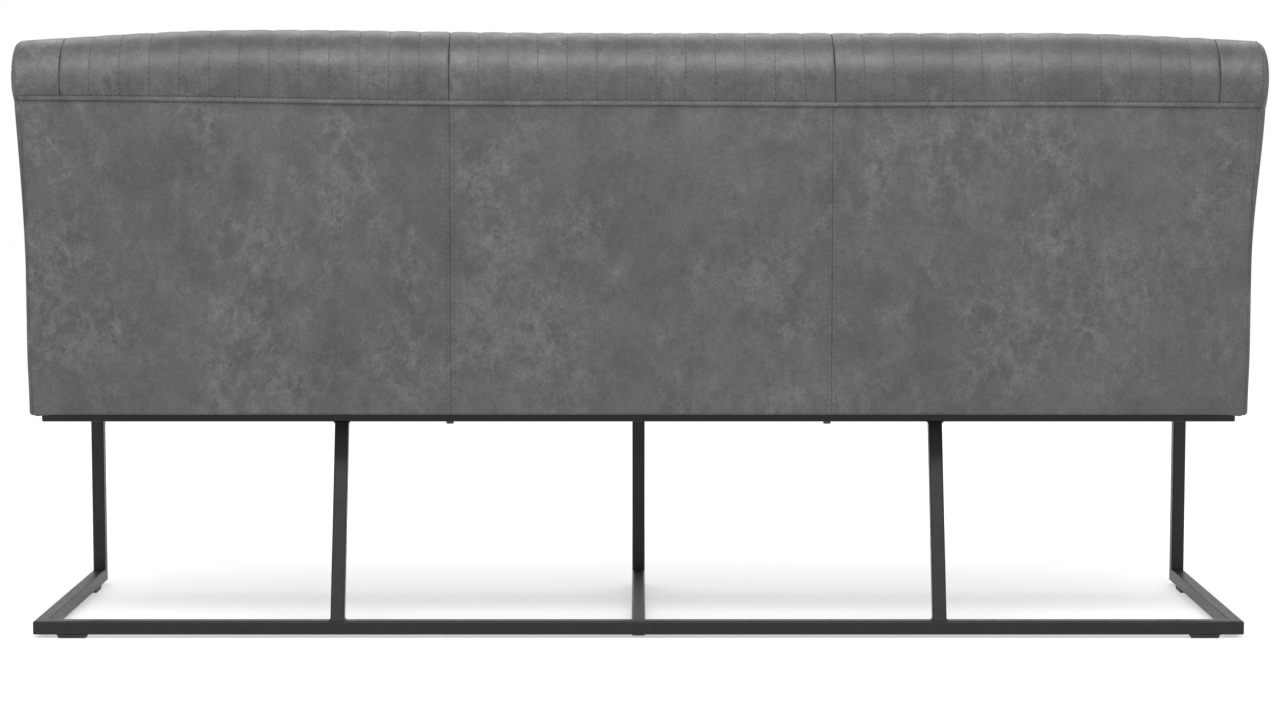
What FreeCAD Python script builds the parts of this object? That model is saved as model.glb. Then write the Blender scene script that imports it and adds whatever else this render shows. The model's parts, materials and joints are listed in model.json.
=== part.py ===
import FreeCAD, Part
import math
import os

# A long dining bench with a padded back on a welded frame of square steel tube.
# +Z is up, the seat faces -Y, and the origin is on the floor under the middle of the bench.
# Millimetres. Most places are given as x along the bench, u forward from the shell's rear
# face, and z above the floor.

# Steel frame
TUBE = 20.0               # outside width of the square tube
WALL = 1.5                # wall of the tube
TUBE_CORNER = 2.5         # outside corner radius of the tube
FRAME_LENGTH = 1756.0     # along the bench, outside to outside
FLOOR_DEPTH = 490.0       # floor frame, front to rear
SEAT_RAIL_Z = 306.0       # underside of the seat frame
SEAT_SETBACK = 90.0       # seat frame's rear rail forward of the floor frame's rear rail
POST_X = 437.0            # rear posts, each side of the middle
WELD_LEG = 4.5            # weld bead on each side of a post
WELD_LENGTH = 14.0

# Glides pushed into the floor frame
GLIDE_LENGTH = 44.0
GLIDE_WIDTH = 18.0
GLIDE_HEIGHT = 5.0
GLIDE_TAPER = 2.5         # how far each end of a glide slopes in
GLIDE_INSET = 46.0        # glide centre from the end of a floor tube
PEG_RADIUS = 4.0
PEG_LENGTH = 7.0

# Bolts that hold the shell on the seat frame
BOLT_RADIUS = 3.0
BOLT_LENGTH = 45.0
BOLT_HEAD_RADIUS = 5.5
BOLT_HEAD = 3.5
BOLT_CLEARANCE = 0.3
NUT_RADIUS = 5.0
NUT_LENGTH = 15.0

# Shell outline
FRONT_OVERHANG = 100.0    # shell forward of the floor frame
SIDE_PAD = 6.0            # padding outside the wooden frame at each end
TOP_FLARE = 22.0          # how much further out each end is at the top
FLARE_START = 480.0       # heights between which the ends flare out
FLARE_END = 800.0
CAP_EDGE = 16.0           # rounding of the back's ends
SHELL_HEIGHT = 548.0      # from the seat frame to the top of the back
ROLL_HEIGHT = 100.0       # from the rear seam to the top of the back
ROLL_RISE = 38.0          # from the rear seam to where the roll is fullest
ROLL_BULGE = 12.0         # roll at its fullest, proud of the rear panel
SEAM_STAND = 2.0          # folded edge at the rear seam, proud of the rear panel
ROLL_FRONT_RADIUS = 46.0
BACK_LEAN = 5.7           # lean of the inner back, degrees
END_DROP = 10.0           # top of the back lower at its ends
DROP_START = 620.0        # from this far out

# Sewn sections and channels
MIDDLE_SECTION = 556.0    # width of the middle section
BORDER = 44.0             # plain border at each end
CHANNELS = 13             # channels in each section
CHANNEL_DEPTH = 3.5
CREST_SHARE = 0.3         # share of a channel on each side that slopes to its seam
QUILT = 12.0              # padded cover of the back
COVER = 2.5               # cover of the seat with its wadding
PANEL = 2.0               # cover of the rear

# Seat cushion
SEAT_RISE = 144.0         # seat edge above the seat frame
SEAT_CROWN = 12.0         # middle of each section above its seams
SEAT_BOW = 6.0            # swell of the seat from front to rear
BOW_LEAST = 0.3           # share of that swell left at a seam
SEAT_NOSE_RADIUS = 45.0
SEAT_FRONT_CROWN = 4.0    # front of each section proud of its seams
FRONT_FOAM = 8.0          # foam over the front board
CREASE_GAP = 0.3          # between the seat and the inner back
CROWN_SHARES = (0.0, 0.08, 0.2, 0.5, 0.8, 0.92, 1.0)

# Wooden frame inside the shell
DUST_COVER = 1.0
BACKING = 3.0             # rear backing board
BOARD = 22.0              # seat boards
BOARD_HEIGHT = 71.0
POST = 40.0               # back posts, front to rear
POST_WIDTH = 24.0
MID_RAIL_Z = 560.0
MID_RAIL_HEIGHT = 40.0
WEBBING = 1.5
WEBBING_WIDTH = 50.0
WEBBING_COUNT = 4
SCREW_RADIUS = 2.0
SCREW_LENGTH = 55.0
SCREW_HEAD_RADIUS = 4.0
SCREW_HEAD = 2.5
SCREW_INSET = 18.0        # screws from a board's edge

# Springs under the cushions
SPRING_WIRE = 3.6
SPRING_BENDS = 20
SPRING_RUN = 44.0         # width of a spring over its bends
SPRINGS = 4               # springs in each section
CLIP = 1.1                # strip that a clip is bent from
CLIP_WIDTH = 14.0
CLIP_DEPTH = 11.0
FELT = 2.0

# Places worked out from the sizes above
REAR_Y = (FLOOR_DEPTH + FRONT_OVERHANG - ROLL_BULGE) / 2
SHELL_DEPTH = FLOOR_DEPTH + FRONT_OVERHANG
HALF_TUBE = TUBE / 2
RAIL_X = FRAME_LENGTH / 2 - HALF_TUBE
FLOOR_Z = GLIDE_HEIGHT + HALF_TUBE
FLOOR_TOP = GLIDE_HEIGHT + TUBE
SEAT_FRAME_Z = SEAT_RAIL_Z + HALF_TUBE
REAR_RAIL_U = SEAT_SETBACK + HALF_TUBE
FRONT_U = FLOOR_DEPTH - HALF_TUBE
SHELL_Z = SEAT_RAIL_Z + TUBE
TOP_Z = SHELL_Z + SHELL_HEIGHT
SEAM_Z = TOP_Z - ROLL_HEIGHT
ROLL_REAR_RADIUS = ROLL_HEIGHT - ROLL_RISE
SEAT_EDGE_Z = SHELL_Z + SEAT_RISE
SIDE_X = FRAME_LENGTH / 2
END_X = SIDE_X - SIDE_PAD
TOP_X = SIDE_X + TOP_FLARE
BORDER_X = END_X - BORDER
SECTION_X = MIDDLE_SECTION / 2
LEAN = math.radians(BACK_LEAN)
BOARD_Z = SHELL_Z + DUST_COVER
BOARD_TOP = BOARD_Z + BOARD_HEIGHT
SPRING_Z = BOARD_TOP + CLIP + SPRING_WIRE / 2
FELT_Z = BOARD_TOP + 2 * CLIP + SPRING_WIRE
DECK_Z = FELT_Z + FELT
BACKING_U = PANEL + BACKING
POST_U = BACKING_U + POST
FOAM_U = POST_U + WEBBING
REAR_BOARD_U = POST_U + BOARD
BOARD_FRONT_U = SHELL_DEPTH - COVER - SEAT_FRONT_CROWN - FRONT_FOAM
FRONT_BOARD_U = BOARD_FRONT_U - BOARD
END_BOARD_X = END_X - POST_WIDTH / 2
BOLT_END_X = (END_BOARD_X + RAIL_X) / 2
SIDES = {"left": -1, "right": 1}

X_AXIS = FreeCAD.Vector(1, 0, 0)
Y_AXIS = FreeCAD.Vector(0, 1, 0)
Z_AXIS = FreeCAD.Vector(0, 0, 1)


def at(x, u, z):
    """A point x along the bench, u forward of the shell's rear face, z above the floor."""
    return FreeCAD.Vector(x, REAR_Y - u, z)


def block(x0, x1, u0, u1, z0, z1):
    """A plain rectangular block between two corners."""
    return Part.makeBox(x1 - x0, u1 - u0, z1 - z0, at(x0, u1, z0))


def rod(x, u, z0, z1, radius):
    """An upright round rod."""
    return Part.makeCylinder(radius, z1 - z0, at(x, u, z0), Z_AXIS)


def mirrored(shape):
    """The same piece on the other side of the bench's middle."""
    return shape.mirror(FreeCAD.Vector(), X_AXIS)


def wire(segments, place):
    """A wire of lines, given by two points each, and arcs, given by three."""
    edges = []
    for points in segments:
        places = [place(*point) for point in points]
        curve = Part.Arc(*places) if len(places) == 3 else Part.LineSegment(*places)
        edges.append(curve.toShape())
    return Part.Wire(edges)


def cross_section(x, segments):
    """A wire across the bench at x, from points given as (u, z)."""
    return wire(segments, lambda u, z: at(x, u, z))


def arc(centre, radius, start, end):
    """An arc about a centre, as its first, middle and last points."""
    angles = (start, (start + end) / 2, end)
    return [(centre[0] + radius * math.cos(a), centre[1] + radius * math.sin(a)) for a in angles]


def backwards(path):
    """The same path from its end to its start."""
    return [tuple(reversed(points)) for points in reversed(path)]


def outline(*paths):
    """One closed outline through the paths in order, with straight lines across the gaps."""
    segments = [points for path in paths for points in path]
    closed = []
    for points, following in zip(segments, segments[1:] + segments[:1]):
        closed.append(points)
        if math.dist(points[-1], following[0]) > Part.Precision.confusion():
            closed.append((points[-1], following[0]))
    return closed


def loft(sections):
    """A closed solid through wires along the bench, straight from each to the next."""
    return Part.makeLoft(sections, True, True)


def edge_steps(start_x, radius):
    """Places along x, with how far an outline has drawn in there, round a soft edge."""
    quarter = math.pi / 2
    angles = (0, quarter / 3, 2 * quarter / 3, quarter)
    return [(start_x + radius * math.sin(a), radius * (1 - math.cos(a))) for a in angles]


# Steel frame

def beyond(point, normal):
    """A large block on the normal's side of a plane through the point."""
    size = 4 * TUBE
    space = Part.makeBox(size, size, size, FreeCAD.Vector(-size / 2, -size / 2, 0))
    space.Placement = FreeCAD.Placement(point, FreeCAD.Rotation(Z_AXIS, normal))
    return space


def square_bar(side, corner, length):
    """A square bar along Z with rounded corners."""
    bar = Part.makeBox(side, side, length, FreeCAD.Vector(-side / 2, -side / 2, 0))
    corners = [e for e in bar.Edges if abs(e.Vertexes[0].Z - e.Vertexes[1].Z) > length / 2]
    return bar.makeFillet(corner, corners)


def tube(start, end, start_normal, end_normal, across=X_AXIS):
    """A square tube along its centreline, each end cut on the plane with the given normal."""
    along = (end - start).normalize()
    length = start.distanceToPoint(end) + 2 * TUBE
    bar = square_bar(TUBE, TUBE_CORNER, length)
    bar = bar.cut(square_bar(TUBE - 2 * WALL, TUBE_CORNER - WALL, length))
    turn = FreeCAD.Rotation(across, along.cross(across), along, "ZXY")
    bar.Placement = FreeCAD.Placement(start - along * TUBE, turn)
    return bar.cut(beyond(start, start_normal)).cut(beyond(end, end_normal))


def floor_frame():
    """The rear floor rail, the runners forward from it and the front legs, mitred together."""
    pieces = {}
    rear = {side: at(sign * RAIL_X, HALF_TUBE, FLOOR_Z) for side, sign in SIDES.items()}
    pieces["floor_rear_rail"] = tube(
        rear["left"], rear["right"], -X_AXIS - Y_AXIS, X_AXIS - Y_AXIS, Y_AXIS)
    bend = Y_AXIS - Z_AXIS
    for side, sign in dict(SIDES, middle=0).items():
        x = sign * RAIL_X
        foot = at(x, FRONT_U, FLOOR_Z)
        if sign:
            runner = tube(foot, rear[side], -bend, Y_AXIS - X_AXIS * sign)
        else:
            runner = tube(foot, at(x, TUBE, FLOOR_Z), -bend, Y_AXIS)
        pieces["floor_runner_" + side] = runner
        pieces["front_leg_" + side] = tube(at(x, FRONT_U, SEAT_RAIL_Z), foot, Z_AXIS, bend)
    for side, sign in SIDES.items():
        base = at(sign * POST_X, HALF_TUBE, FLOOR_TOP)
        top = at(sign * POST_X, REAR_RAIL_U, SEAT_RAIL_Z)
        pieces["rear_post_" + side] = tube(base, top, -Z_AXIS, Z_AXIS)
    return pieces


def seat_frame():
    """The mitred rectangle of tube that the shell is bolted to, with its middle bar."""
    corner = {}
    for side, sign in SIDES.items():
        corner["rear", side] = at(sign * RAIL_X, REAR_RAIL_U, SEAT_FRAME_Z)
        corner["front", side] = at(sign * RAIL_X, FRONT_U, SEAT_FRAME_Z)
    pieces = {}
    for end, sign in (("rear", 1), ("front", -1)):
        inward = -Y_AXIS * sign
        pieces["seat_rail_" + end] = tube(
            corner[end, "left"], corner[end, "right"], inward - X_AXIS, inward + X_AXIS, Y_AXIS)
    for side, sign in SIDES.items():
        inward = -X_AXIS * sign
        pieces["seat_bar_" + side] = tube(
            corner["front", side], corner["rear", side], inward - Y_AXIS, inward + Y_AXIS)
    pieces["seat_bar_middle"] = tube(
        at(0, FRONT_U - HALF_TUBE, SEAT_FRAME_Z), at(0, REAR_RAIL_U + HALF_TUBE, SEAT_FRAME_Z),
        -Y_AXIS, Y_AXIS)
    return pieces


def weld_bead(x_face, sign, u, z, up):
    """A hollow bead in the corner between a post's side and the rail above or below it."""
    inner = (x_face, z)
    foot = (x_face + sign * WELD_LEG, z)
    head = (x_face, z + up * WELD_LEG)
    bow = WELD_LEG * (1 - math.sqrt(0.5))
    hollow = (x_face + sign * bow, z + up * bow)
    rim = [(inner, foot), (foot, hollow, head), (head, inner)]
    face = Part.Face(wire(rim, lambda x, height: at(x, u - WELD_LENGTH / 2, height)))
    return face.extrude(-Y_AXIS * WELD_LENGTH)


def weld_beads():
    """Beads on both sides of each rear post, at its foot and at its head."""
    beads = []
    for post_sign in SIDES.values():
        for sign in SIDES.values():
            x_face = post_sign * POST_X + sign * HALF_TUBE
            beads.append(weld_bead(x_face, sign, HALF_TUBE, FLOOR_TOP, 1))
            beads.append(weld_bead(x_face, sign, REAR_RAIL_U, SEAT_RAIL_Z, -1))
    return beads


def glide_places():
    """Where each glide is: the tube it is in, its x and u, and whether it lies along x."""
    places = []
    for side, sign in dict(SIDES, middle=0).items():
        runner = "floor_runner_" + side
        places.append((runner, sign * RAIL_X, FLOOR_DEPTH - TUBE - GLIDE_INSET - HALF_TUBE, False))
        if sign:
            places.append(("floor_rear_rail", sign * (RAIL_X - GLIDE_INSET), HALF_TUBE, True))
        else:
            places.append((runner, 0, TUBE + GLIDE_LENGTH / 2, False))
    return places


def glide(x, u, along_x):
    """A flat glide with sloping ends, and a peg that goes up into the tube."""
    top = GLIDE_LENGTH / 2
    sole = top - GLIDE_TAPER
    half = GLIDE_WIDTH / 2
    corners = [(-sole, 0), (sole, 0), (top, GLIDE_HEIGHT), (-top, GLIDE_HEIGHT)]
    rim = [FreeCAD.Vector(reach, -half, z) for reach, z in corners]
    pad = Part.Face(Part.makePolygon(rim + rim[:1])).extrude(Y_AXIS * GLIDE_WIDTH)
    peg = Part.makeCylinder(PEG_RADIUS, GLIDE_HEIGHT + PEG_LENGTH)
    turn = 0 if along_x else 90
    piece = pad.fuse(peg).removeSplitter()
    piece.Placement = FreeCAD.Placement(at(x, u, 0), FreeCAD.Rotation(Z_AXIS, turn))
    return piece


# Bolts and screws

def bolt_places():
    """Where each bolt is: the seat tube and the board it joins, and its x and u."""
    places = []
    for side, sign in SIDES.items():
        for end, u in (("rear", REAR_RAIL_U), ("front", FRONT_U)):
            places.append(("seat_rail_" + end, "seat_cross_board_" + side, sign * SECTION_X, u))
        span = FRONT_U - REAR_RAIL_U
        for u in (REAR_RAIL_U + span / 3, FRONT_U - span / 3):
            places.append(("seat_bar_" + side, "seat_end_board_" + side, sign * BOLT_END_X, u))
    return places


def bolt(x, u):
    """A bolt up through the seat frame, with a flat round head below the tube."""
    head = rod(x, u, SEAT_RAIL_Z - BOLT_HEAD, SEAT_RAIL_Z, BOLT_HEAD_RADIUS)
    shank = rod(x, u, SEAT_RAIL_Z, SEAT_RAIL_Z + BOLT_LENGTH, BOLT_RADIUS)
    return head.fuse(shank)


def bolt_hole(x, u):
    """The clear hole that a bolt passes through."""
    top = SEAT_RAIL_Z + BOLT_LENGTH + BOLT_CLEARANCE
    return rod(x, u, SEAT_RAIL_Z - BOLT_HEAD, top, BOLT_RADIUS + BOLT_CLEARANCE)


def insert_nut(x, u, radius):
    """The body of a threaded insert at the underside of a board."""
    return rod(x, u, BOARD_Z, BOARD_Z + NUT_LENGTH, radius)


def screw(point, direction):
    """A wood screw with a flush countersunk head."""
    head = Part.makeCone(SCREW_HEAD_RADIUS, SCREW_RADIUS, SCREW_HEAD, point, direction)
    shank = Part.makeCylinder(SCREW_RADIUS, SCREW_LENGTH, point, direction)
    return head.fuse(shank)


def frame_screws():
    """Screws through the front board into the boards behind it, and down into the posts."""
    screws = []
    for x in (-END_BOARD_X, -SECTION_X, SECTION_X, END_BOARD_X):
        for z in (BOARD_Z + SCREW_INSET, BOARD_TOP - SCREW_INSET):
            screws.append(screw(at(x, BOARD_FRONT_U, z), Y_AXIS))
        screws.append(screw(at(x, BACKING_U + POST / 2, SEAM_Z), -Z_AXIS))
    return screws


# Wooden frame

def wooden_frame():
    """The boards of the seat, and the posts and rails of the back."""
    rail_z = SEAM_Z - BOARD
    inner_end = END_X - POST_WIDTH
    pieces = {
        "seat_front_board": block(-END_X, END_X, FRONT_BOARD_U, BOARD_FRONT_U, BOARD_Z, BOARD_TOP),
        "seat_rear_board": block(-inner_end, inner_end, POST_U, REAR_BOARD_U, BOARD_Z, BOARD_TOP),
        "back_top_rail": block(-END_X, END_X, BACKING_U, POST_U, rail_z, SEAM_Z),
        "rear_backing_board": block(-END_X, END_X, PANEL, BACKING_U, BOARD_Z, SEAM_Z),
    }
    for side, sign in SIDES.items():
        for name, x, width, u0, u1, top in (
                ("seat_end_board_", END_BOARD_X, POST_WIDTH, POST_U, FRONT_BOARD_U, BOARD_TOP),
                ("seat_cross_board_", SECTION_X, BOARD, REAR_BOARD_U, FRONT_BOARD_U, BOARD_TOP),
                ("back_post_", END_BOARD_X, POST_WIDTH, BACKING_U, POST_U, rail_z),
                ("back_post_inner_", SECTION_X, POST_WIDTH, BACKING_U, POST_U, rail_z)):
            middle = sign * x
            pieces[name + side] = block(
                middle - width / 2, middle + width / 2, u0, u1, BOARD_Z, top)
    return pieces


def mid_rails():
    """Short rails between the back posts at mid height."""
    inside = SECTION_X - POST_WIDTH / 2
    outside = SECTION_X + POST_WIDTH / 2
    end = END_X - POST_WIDTH
    spans = ((-end, -outside), (-inside, inside), (outside, end))
    top = MID_RAIL_Z + MID_RAIL_HEIGHT
    return [block(x0, x1, BACKING_U, BACKING_U + BOARD, MID_RAIL_Z, top) for x0, x1 in spans]


def back_webbing():
    """Bands stretched along the back across the posts."""
    low = DECK_Z + WEBBING_WIDTH
    step = (SEAM_Z - WEBBING_WIDTH - low) / (WEBBING_COUNT - 1)
    starts = [low + k * step for k in range(WEBBING_COUNT)]
    return [block(-END_X, END_X, POST_U, FOAM_U, z, z + WEBBING_WIDTH) for z in starts]


# Springs

def spring_places():
    """The middle of each spring along the bench."""
    places = []
    for x0, x1 in section_spans().values():
        step = (x1 - x0) / SPRINGS
        places += [x0 + (k + 0.5) * step for k in range(SPRINGS)]
    return places


def spring(x):
    """A flat zigzag spring of round wire from the rear board to the front board."""
    rear_u = REAR_BOARD_U - BOARD / 2
    step = (FRONT_BOARD_U + BOARD / 2 - rear_u) / SPRING_BENDS
    bend = step / 2
    reach = SPRING_RUN / 2 - bend
    corner = bend * math.sqrt(0.5)
    path = []
    for k in range(SPRING_BENDS + 1):
        u = rear_u + k * step
        way = 1 if k % 2 == 0 else -1
        path.append(((x - way * reach, u), (x + way * reach, u)))
        if k < SPRING_BENDS:
            tip = x + way * reach
            crest = (tip + way * bend, u + bend)
            path.append(((tip, u), (tip + way * corner, u + bend - corner), crest))
            path.append((crest, (tip + way * corner, u + bend + corner), (tip, u + step)))
    line = wire(path, lambda along, u: at(along, u, SPRING_Z))
    ring = Part.Circle(at(x - reach, rear_u, SPRING_Z), X_AXIS, SPRING_WIRE / 2)
    return line.makePipeShell([Part.Wire(ring.toShape())], True, False)


def spring_clip(x, u, toward):
    """A bent strip on a board that grips the end of a spring and is open toward the seat."""
    half = CLIP_WIDTH / 2
    radius = SPRING_WIRE / 2
    u0 = u - toward * (radius + CLIP)
    u1 = u0 + toward * CLIP_DEPTH
    body = block(x - half, x + half, min(u0, u1), max(u0, u1), BOARD_TOP, FELT_Z)
    hollow = sorted((u - toward * radius, u1))
    return body.cut(block(x - half, x + half, *hollow, BOARD_TOP + CLIP, FELT_Z - CLIP))


def spring_clips():
    """A clip at both ends of each spring."""
    clips = []
    for x in spring_places():
        clips.append(spring_clip(x, REAR_BOARD_U - BOARD / 2, 1))
        clips.append(spring_clip(x, FRONT_BOARD_U + BOARD / 2, -1))
    return clips


# Padded back

def section_spans():
    """Where each sewn section starts and ends along the bench."""
    return {
        "left": (-BORDER_X, -SECTION_X),
        "middle": (-SECTION_X, SECTION_X),
        "right": (SECTION_X, BORDER_X),
    }


def end_drop(x):
    """How much lower the top of the back is at x, smoothly from the middle to the border."""
    share = min(max((abs(x) - DROP_START) / (BORDER_X - DROP_START), 0), 1)
    return END_DROP * share ** 2 * (3 - 2 * share)


def roll_path(drop, inset):
    """The back's outer line, from the rear seam over the roll and down its front to the deck."""
    bulge_z = TOP_Z - ROLL_REAR_RADIUS - drop
    rise = bulge_z - SEAM_Z
    swell = ROLL_BULGE - SEAM_STAND
    under_radius = (swell ** 2 + rise ** 2) / (2 * swell)
    seam_angle = math.pi + math.asin(rise / under_radius)
    under = arc((under_radius - ROLL_BULGE, bulge_z), under_radius - inset, seam_angle, math.pi)
    crest_u = ROLL_REAR_RADIUS - ROLL_BULGE
    rear = arc((crest_u, bulge_z), ROLL_REAR_RADIUS - inset, math.pi, math.pi / 2)
    front_centre = (crest_u, TOP_Z - ROLL_FRONT_RADIUS - drop)
    front = arc(front_centre, ROLL_FRONT_RADIUS - inset, math.pi / 2, LEAN)
    brow = front[-1]
    foot = (brow[0] + (brow[1] - DECK_Z) * math.tan(LEAN), DECK_Z)
    return [under, rear, front, (brow, foot)]


def quilt_section(x, drop, inset):
    """The padded cover across the bench at x, closed level on the rear panel's top."""
    inner = backwards(roll_path(drop, QUILT))
    seam = inner[-1][-1]
    lap = [(seam, (seam[0], SEAM_Z))]
    return cross_section(x, outline(roll_path(drop, inset), inner, lap))


def channel_seams(x0, x1):
    """The stitch lines between two section seams."""
    step = (x1 - x0) / CHANNELS
    return [x0 + k * step for k in range(CHANNELS + 1)]


def quilt(x0, x1):
    """A section of the back's cover with its sewn channels."""
    sections = []
    seams = channel_seams(x0, x1)
    for start, end in zip(seams, seams[1:]):
        fall = end_drop(end) - end_drop(start)
        for share, inset in ((0, CHANNEL_DEPTH), (CREST_SHARE, 0), (1 - CREST_SHARE, 0)):
            x = start + share * (end - start)
            sections.append(quilt_section(x, end_drop(start) + share * fall, inset))
    sections.append(quilt_section(x1, end_drop(x1), CHANNEL_DEPTH))
    return loft(sections)


def back_foam(stations):
    """The foam behind the cover, on the top rail and against the webbing."""
    sections = []
    for x in stations:
        skin = roll_path(end_drop(x), QUILT)
        rear = [((FOAM_U, DECK_Z), (FOAM_U, SEAM_Z)), ((FOAM_U, SEAM_Z), (skin[0][0][0], SEAM_Z))]
        sections.append(cross_section(x, outline(skin, rear)))
    return loft(sections)


def flare(u0, u1):
    """The space inside the line that the end of the back flares along."""
    half_rise = (FLARE_END - FLARE_START) / 2
    half_swing = TOP_FLARE / 2
    radius = (half_swing ** 2 + half_rise ** 2) / (2 * half_swing)
    sweep = math.asin(half_rise / radius)
    lower = arc((SIDE_X + radius, FLARE_START), radius, math.pi, math.pi - sweep)
    upper = arc((TOP_X - radius, FLARE_END), radius, -sweep, 0)
    head = TOP_Z + CAP_EDGE
    rim = outline([((END_X, head), (END_X, SHELL_Z)), ((END_X, SHELL_Z), (SIDE_X, SHELL_Z))],
                  [lower, upper], [(upper[-1], (TOP_X, head))])
    face = Part.Face(wire(rim, lambda x, z: at(x, u0, z)))
    return face.extrude(-Y_AXIS * (u1 - u0))


def back_end_cap():
    """The padded end of the back, which flares outward to its top and is soft at its edges."""
    steps = [(END_X, 0)] + edge_steps(TOP_X - CAP_EDGE, CAP_EDGE)
    sections = []
    for x, inset in steps:
        skin = roll_path(END_DROP, inset)
        foot_u = skin[-1][-1][0]
        base = [((foot_u, SHELL_Z), (inset, SHELL_Z))]
        sections.append(cross_section(x, outline(skin, base)))
    return loft(sections).common(flare(-2 * ROLL_BULGE, SHELL_DEPTH))


# Seat

CREASE_U = roll_path(0, 0)[-1][-1][0] + CREASE_GAP


def crease_u(z):
    """Where the seat ends against the inner back."""
    return CREASE_U - (z - DECK_Z) * math.tan(LEAN)


def seat_path(crown, inset, foot_z=SHELL_Z):
    """The seat's outer line, from the back over the top and the nose down its front."""
    top_z = SEAT_EDGE_Z + SEAT_CROWN * crown - inset
    front_u = SHELL_DEPTH - SEAT_FRONT_CROWN * (1 - crown) - inset
    radius = SEAT_NOSE_RADIUS - inset
    rear = (crease_u(top_z), top_z)
    brow = (front_u - radius, top_z)
    swell = SEAT_BOW * (BOW_LEAST + (1 - BOW_LEAST) * crown)
    middle = ((rear[0] + brow[0]) / 2, top_z + swell)
    nose = arc((brow[0], top_z - radius), radius, math.pi / 2, 0)
    return [(rear, middle, brow), nose, (nose[-1], (front_u, foot_z))]


def crowned(x0, x1):
    """Stations across a seat section, with how far the cushion has swelled at each."""
    return [(x0 + share * (x1 - x0), 1 - (2 * share - 1) ** 4) for share in CROWN_SHARES]


def seat_cover(stations):
    """The cover of a part of the seat, from the back down to the seat frame."""
    sections = []
    for x, crown in stations:
        skin = outline(seat_path(crown, 0), backwards(seat_path(crown, COVER)))
        sections.append(cross_section(x, skin))
    return loft(sections)


def seat_foam(stations):
    """The foam of a part of the seat, on the felt and down over the front board."""
    sections = []
    for x, crown in stations:
        board = [((BOARD_FRONT_U, BOARD_Z), (BOARD_FRONT_U, DECK_Z)),
                 ((BOARD_FRONT_U, DECK_Z), (CREASE_U, DECK_Z))]
        sections.append(cross_section(x, outline(seat_path(crown, COVER, BOARD_Z), board)))
    return loft(sections)


def seat_side_cover():
    """The padded end of the seat, rounded over at its edges."""
    sections = []
    for x, inset in edge_steps(END_X, SIDE_PAD):
        rear = [((CREASE_U, SHELL_Z), (CREASE_U, DECK_Z))]
        sections.append(cross_section(x, outline(seat_path(0, inset), rear)))
    return loft(sections)


def padding():
    """Every cover and foam of the shell; the left side is the right one mirrored."""
    middle = section_spans()["middle"]
    right = section_spans()["right"]
    edge = [(BORDER_X, 0), (END_X, 0)]
    pieces = {
        "back_quilt_middle": quilt(*middle),
        "back_foam_middle": back_foam(middle),
        "seat_cover_middle": seat_cover(crowned(*middle)),
        "seat_foam_middle": seat_foam(crowned(*middle)),
        "rear_panel_middle": block(*middle, 0, PANEL, SHELL_Z, SEAM_Z),
    }
    ends = {
        "back_quilt": quilt(*right),
        "back_foam": back_foam(channel_seams(*right) + [END_X]),
        "back_border": loft([quilt_section(x, END_DROP, 0) for x in (BORDER_X, END_X)]),
        "back_end_cap": back_end_cap(),
        "seat_cover": seat_cover(crowned(*right)),
        "seat_foam": seat_foam(crowned(*right) + edge[1:]),
        "seat_border": seat_cover(edge),
        "seat_side_cover": seat_side_cover(),
        "rear_panel": block(SECTION_X, END_X, 0, PANEL, SHELL_Z, SEAM_Z),
    }
    for name, shape in ends.items():
        pieces[name + "_right"] = shape
        pieces[name + "_left"] = mirrored(shape)
    return pieces


def drilled_frames():
    """The steel and wooden frames with every hole for a glide, bolt, insert or screw."""
    pieces = {**floor_frame(), **seat_frame(), **wooden_frame()}
    pieces["dust_cover"] = block(-END_X, END_X, BACKING_U, BOARD_FRONT_U, SHELL_Z, BOARD_Z)
    for runner, x, u, along_x in glide_places():
        peg = rod(x, u, 0, GLIDE_HEIGHT + PEG_LENGTH, PEG_RADIUS)
        pieces[runner] = pieces[runner].cut(peg)
    for rail, board, x, u in bolt_places():
        hole = bolt_hole(x, u)
        pieces[rail] = pieces[rail].cut(hole)
        pieces["dust_cover"] = pieces["dust_cover"].cut(hole)
        pieces[board] = pieces[board].cut(hole).cut(insert_nut(x, u, NUT_RADIUS))
    fixed = ["seat_front_board", "back_top_rail"]
    for side in SIDES:
        fixed += [name + side for name in (
            "seat_end_board_", "seat_cross_board_", "back_post_", "back_post_inner_")]
    for name in fixed:
        for fastener in frame_screws():
            pieces[name] = pieces[name].cut(fastener)
    return pieces


def bench():
    """Every piece of the bench by its name."""
    places = [(x, u) for rail, board, x, u in bolt_places()]
    pieces = {**drilled_frames(), **padding()}
    groups = {
        "weld_beads": weld_beads(),
        "foot_glides": [glide(x, u, along_x) for runner, x, u, along_x in glide_places()],
        "frame_bolts": [bolt(x, u) for x, u in places],
        "insert_nuts": [insert_nut(x, u, NUT_RADIUS).cut(insert_nut(x, u, BOLT_RADIUS))
                        for x, u in places],
        "frame_screws": frame_screws(),
        "back_mid_rails": mid_rails(),
        "back_webbing": back_webbing(),
        "seat_springs": [spring(x) for x in spring_places()],
        "spring_clips": spring_clips(),
    }
    for name, solids in groups.items():
        pieces[name] = Part.makeCompound(solids)
    pieces["spring_felt"] = block(-END_X, END_X, FOAM_U, BOARD_FRONT_U, FELT_Z, DECK_Z)
    return pieces


os.makedirs("parts", exist_ok=True)
for node, shape in bench().items():
    solids = shape.Solids
    whole = solids[0] if len(solids) == 1 else Part.makeCompound(solids)
    whole.exportStep(os.path.join("parts", node + ".step"))
    print(node, len(solids), "solids,", round(whole.Volume / 1000, 1), "cm3, valid:", whole.isValid())
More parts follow.
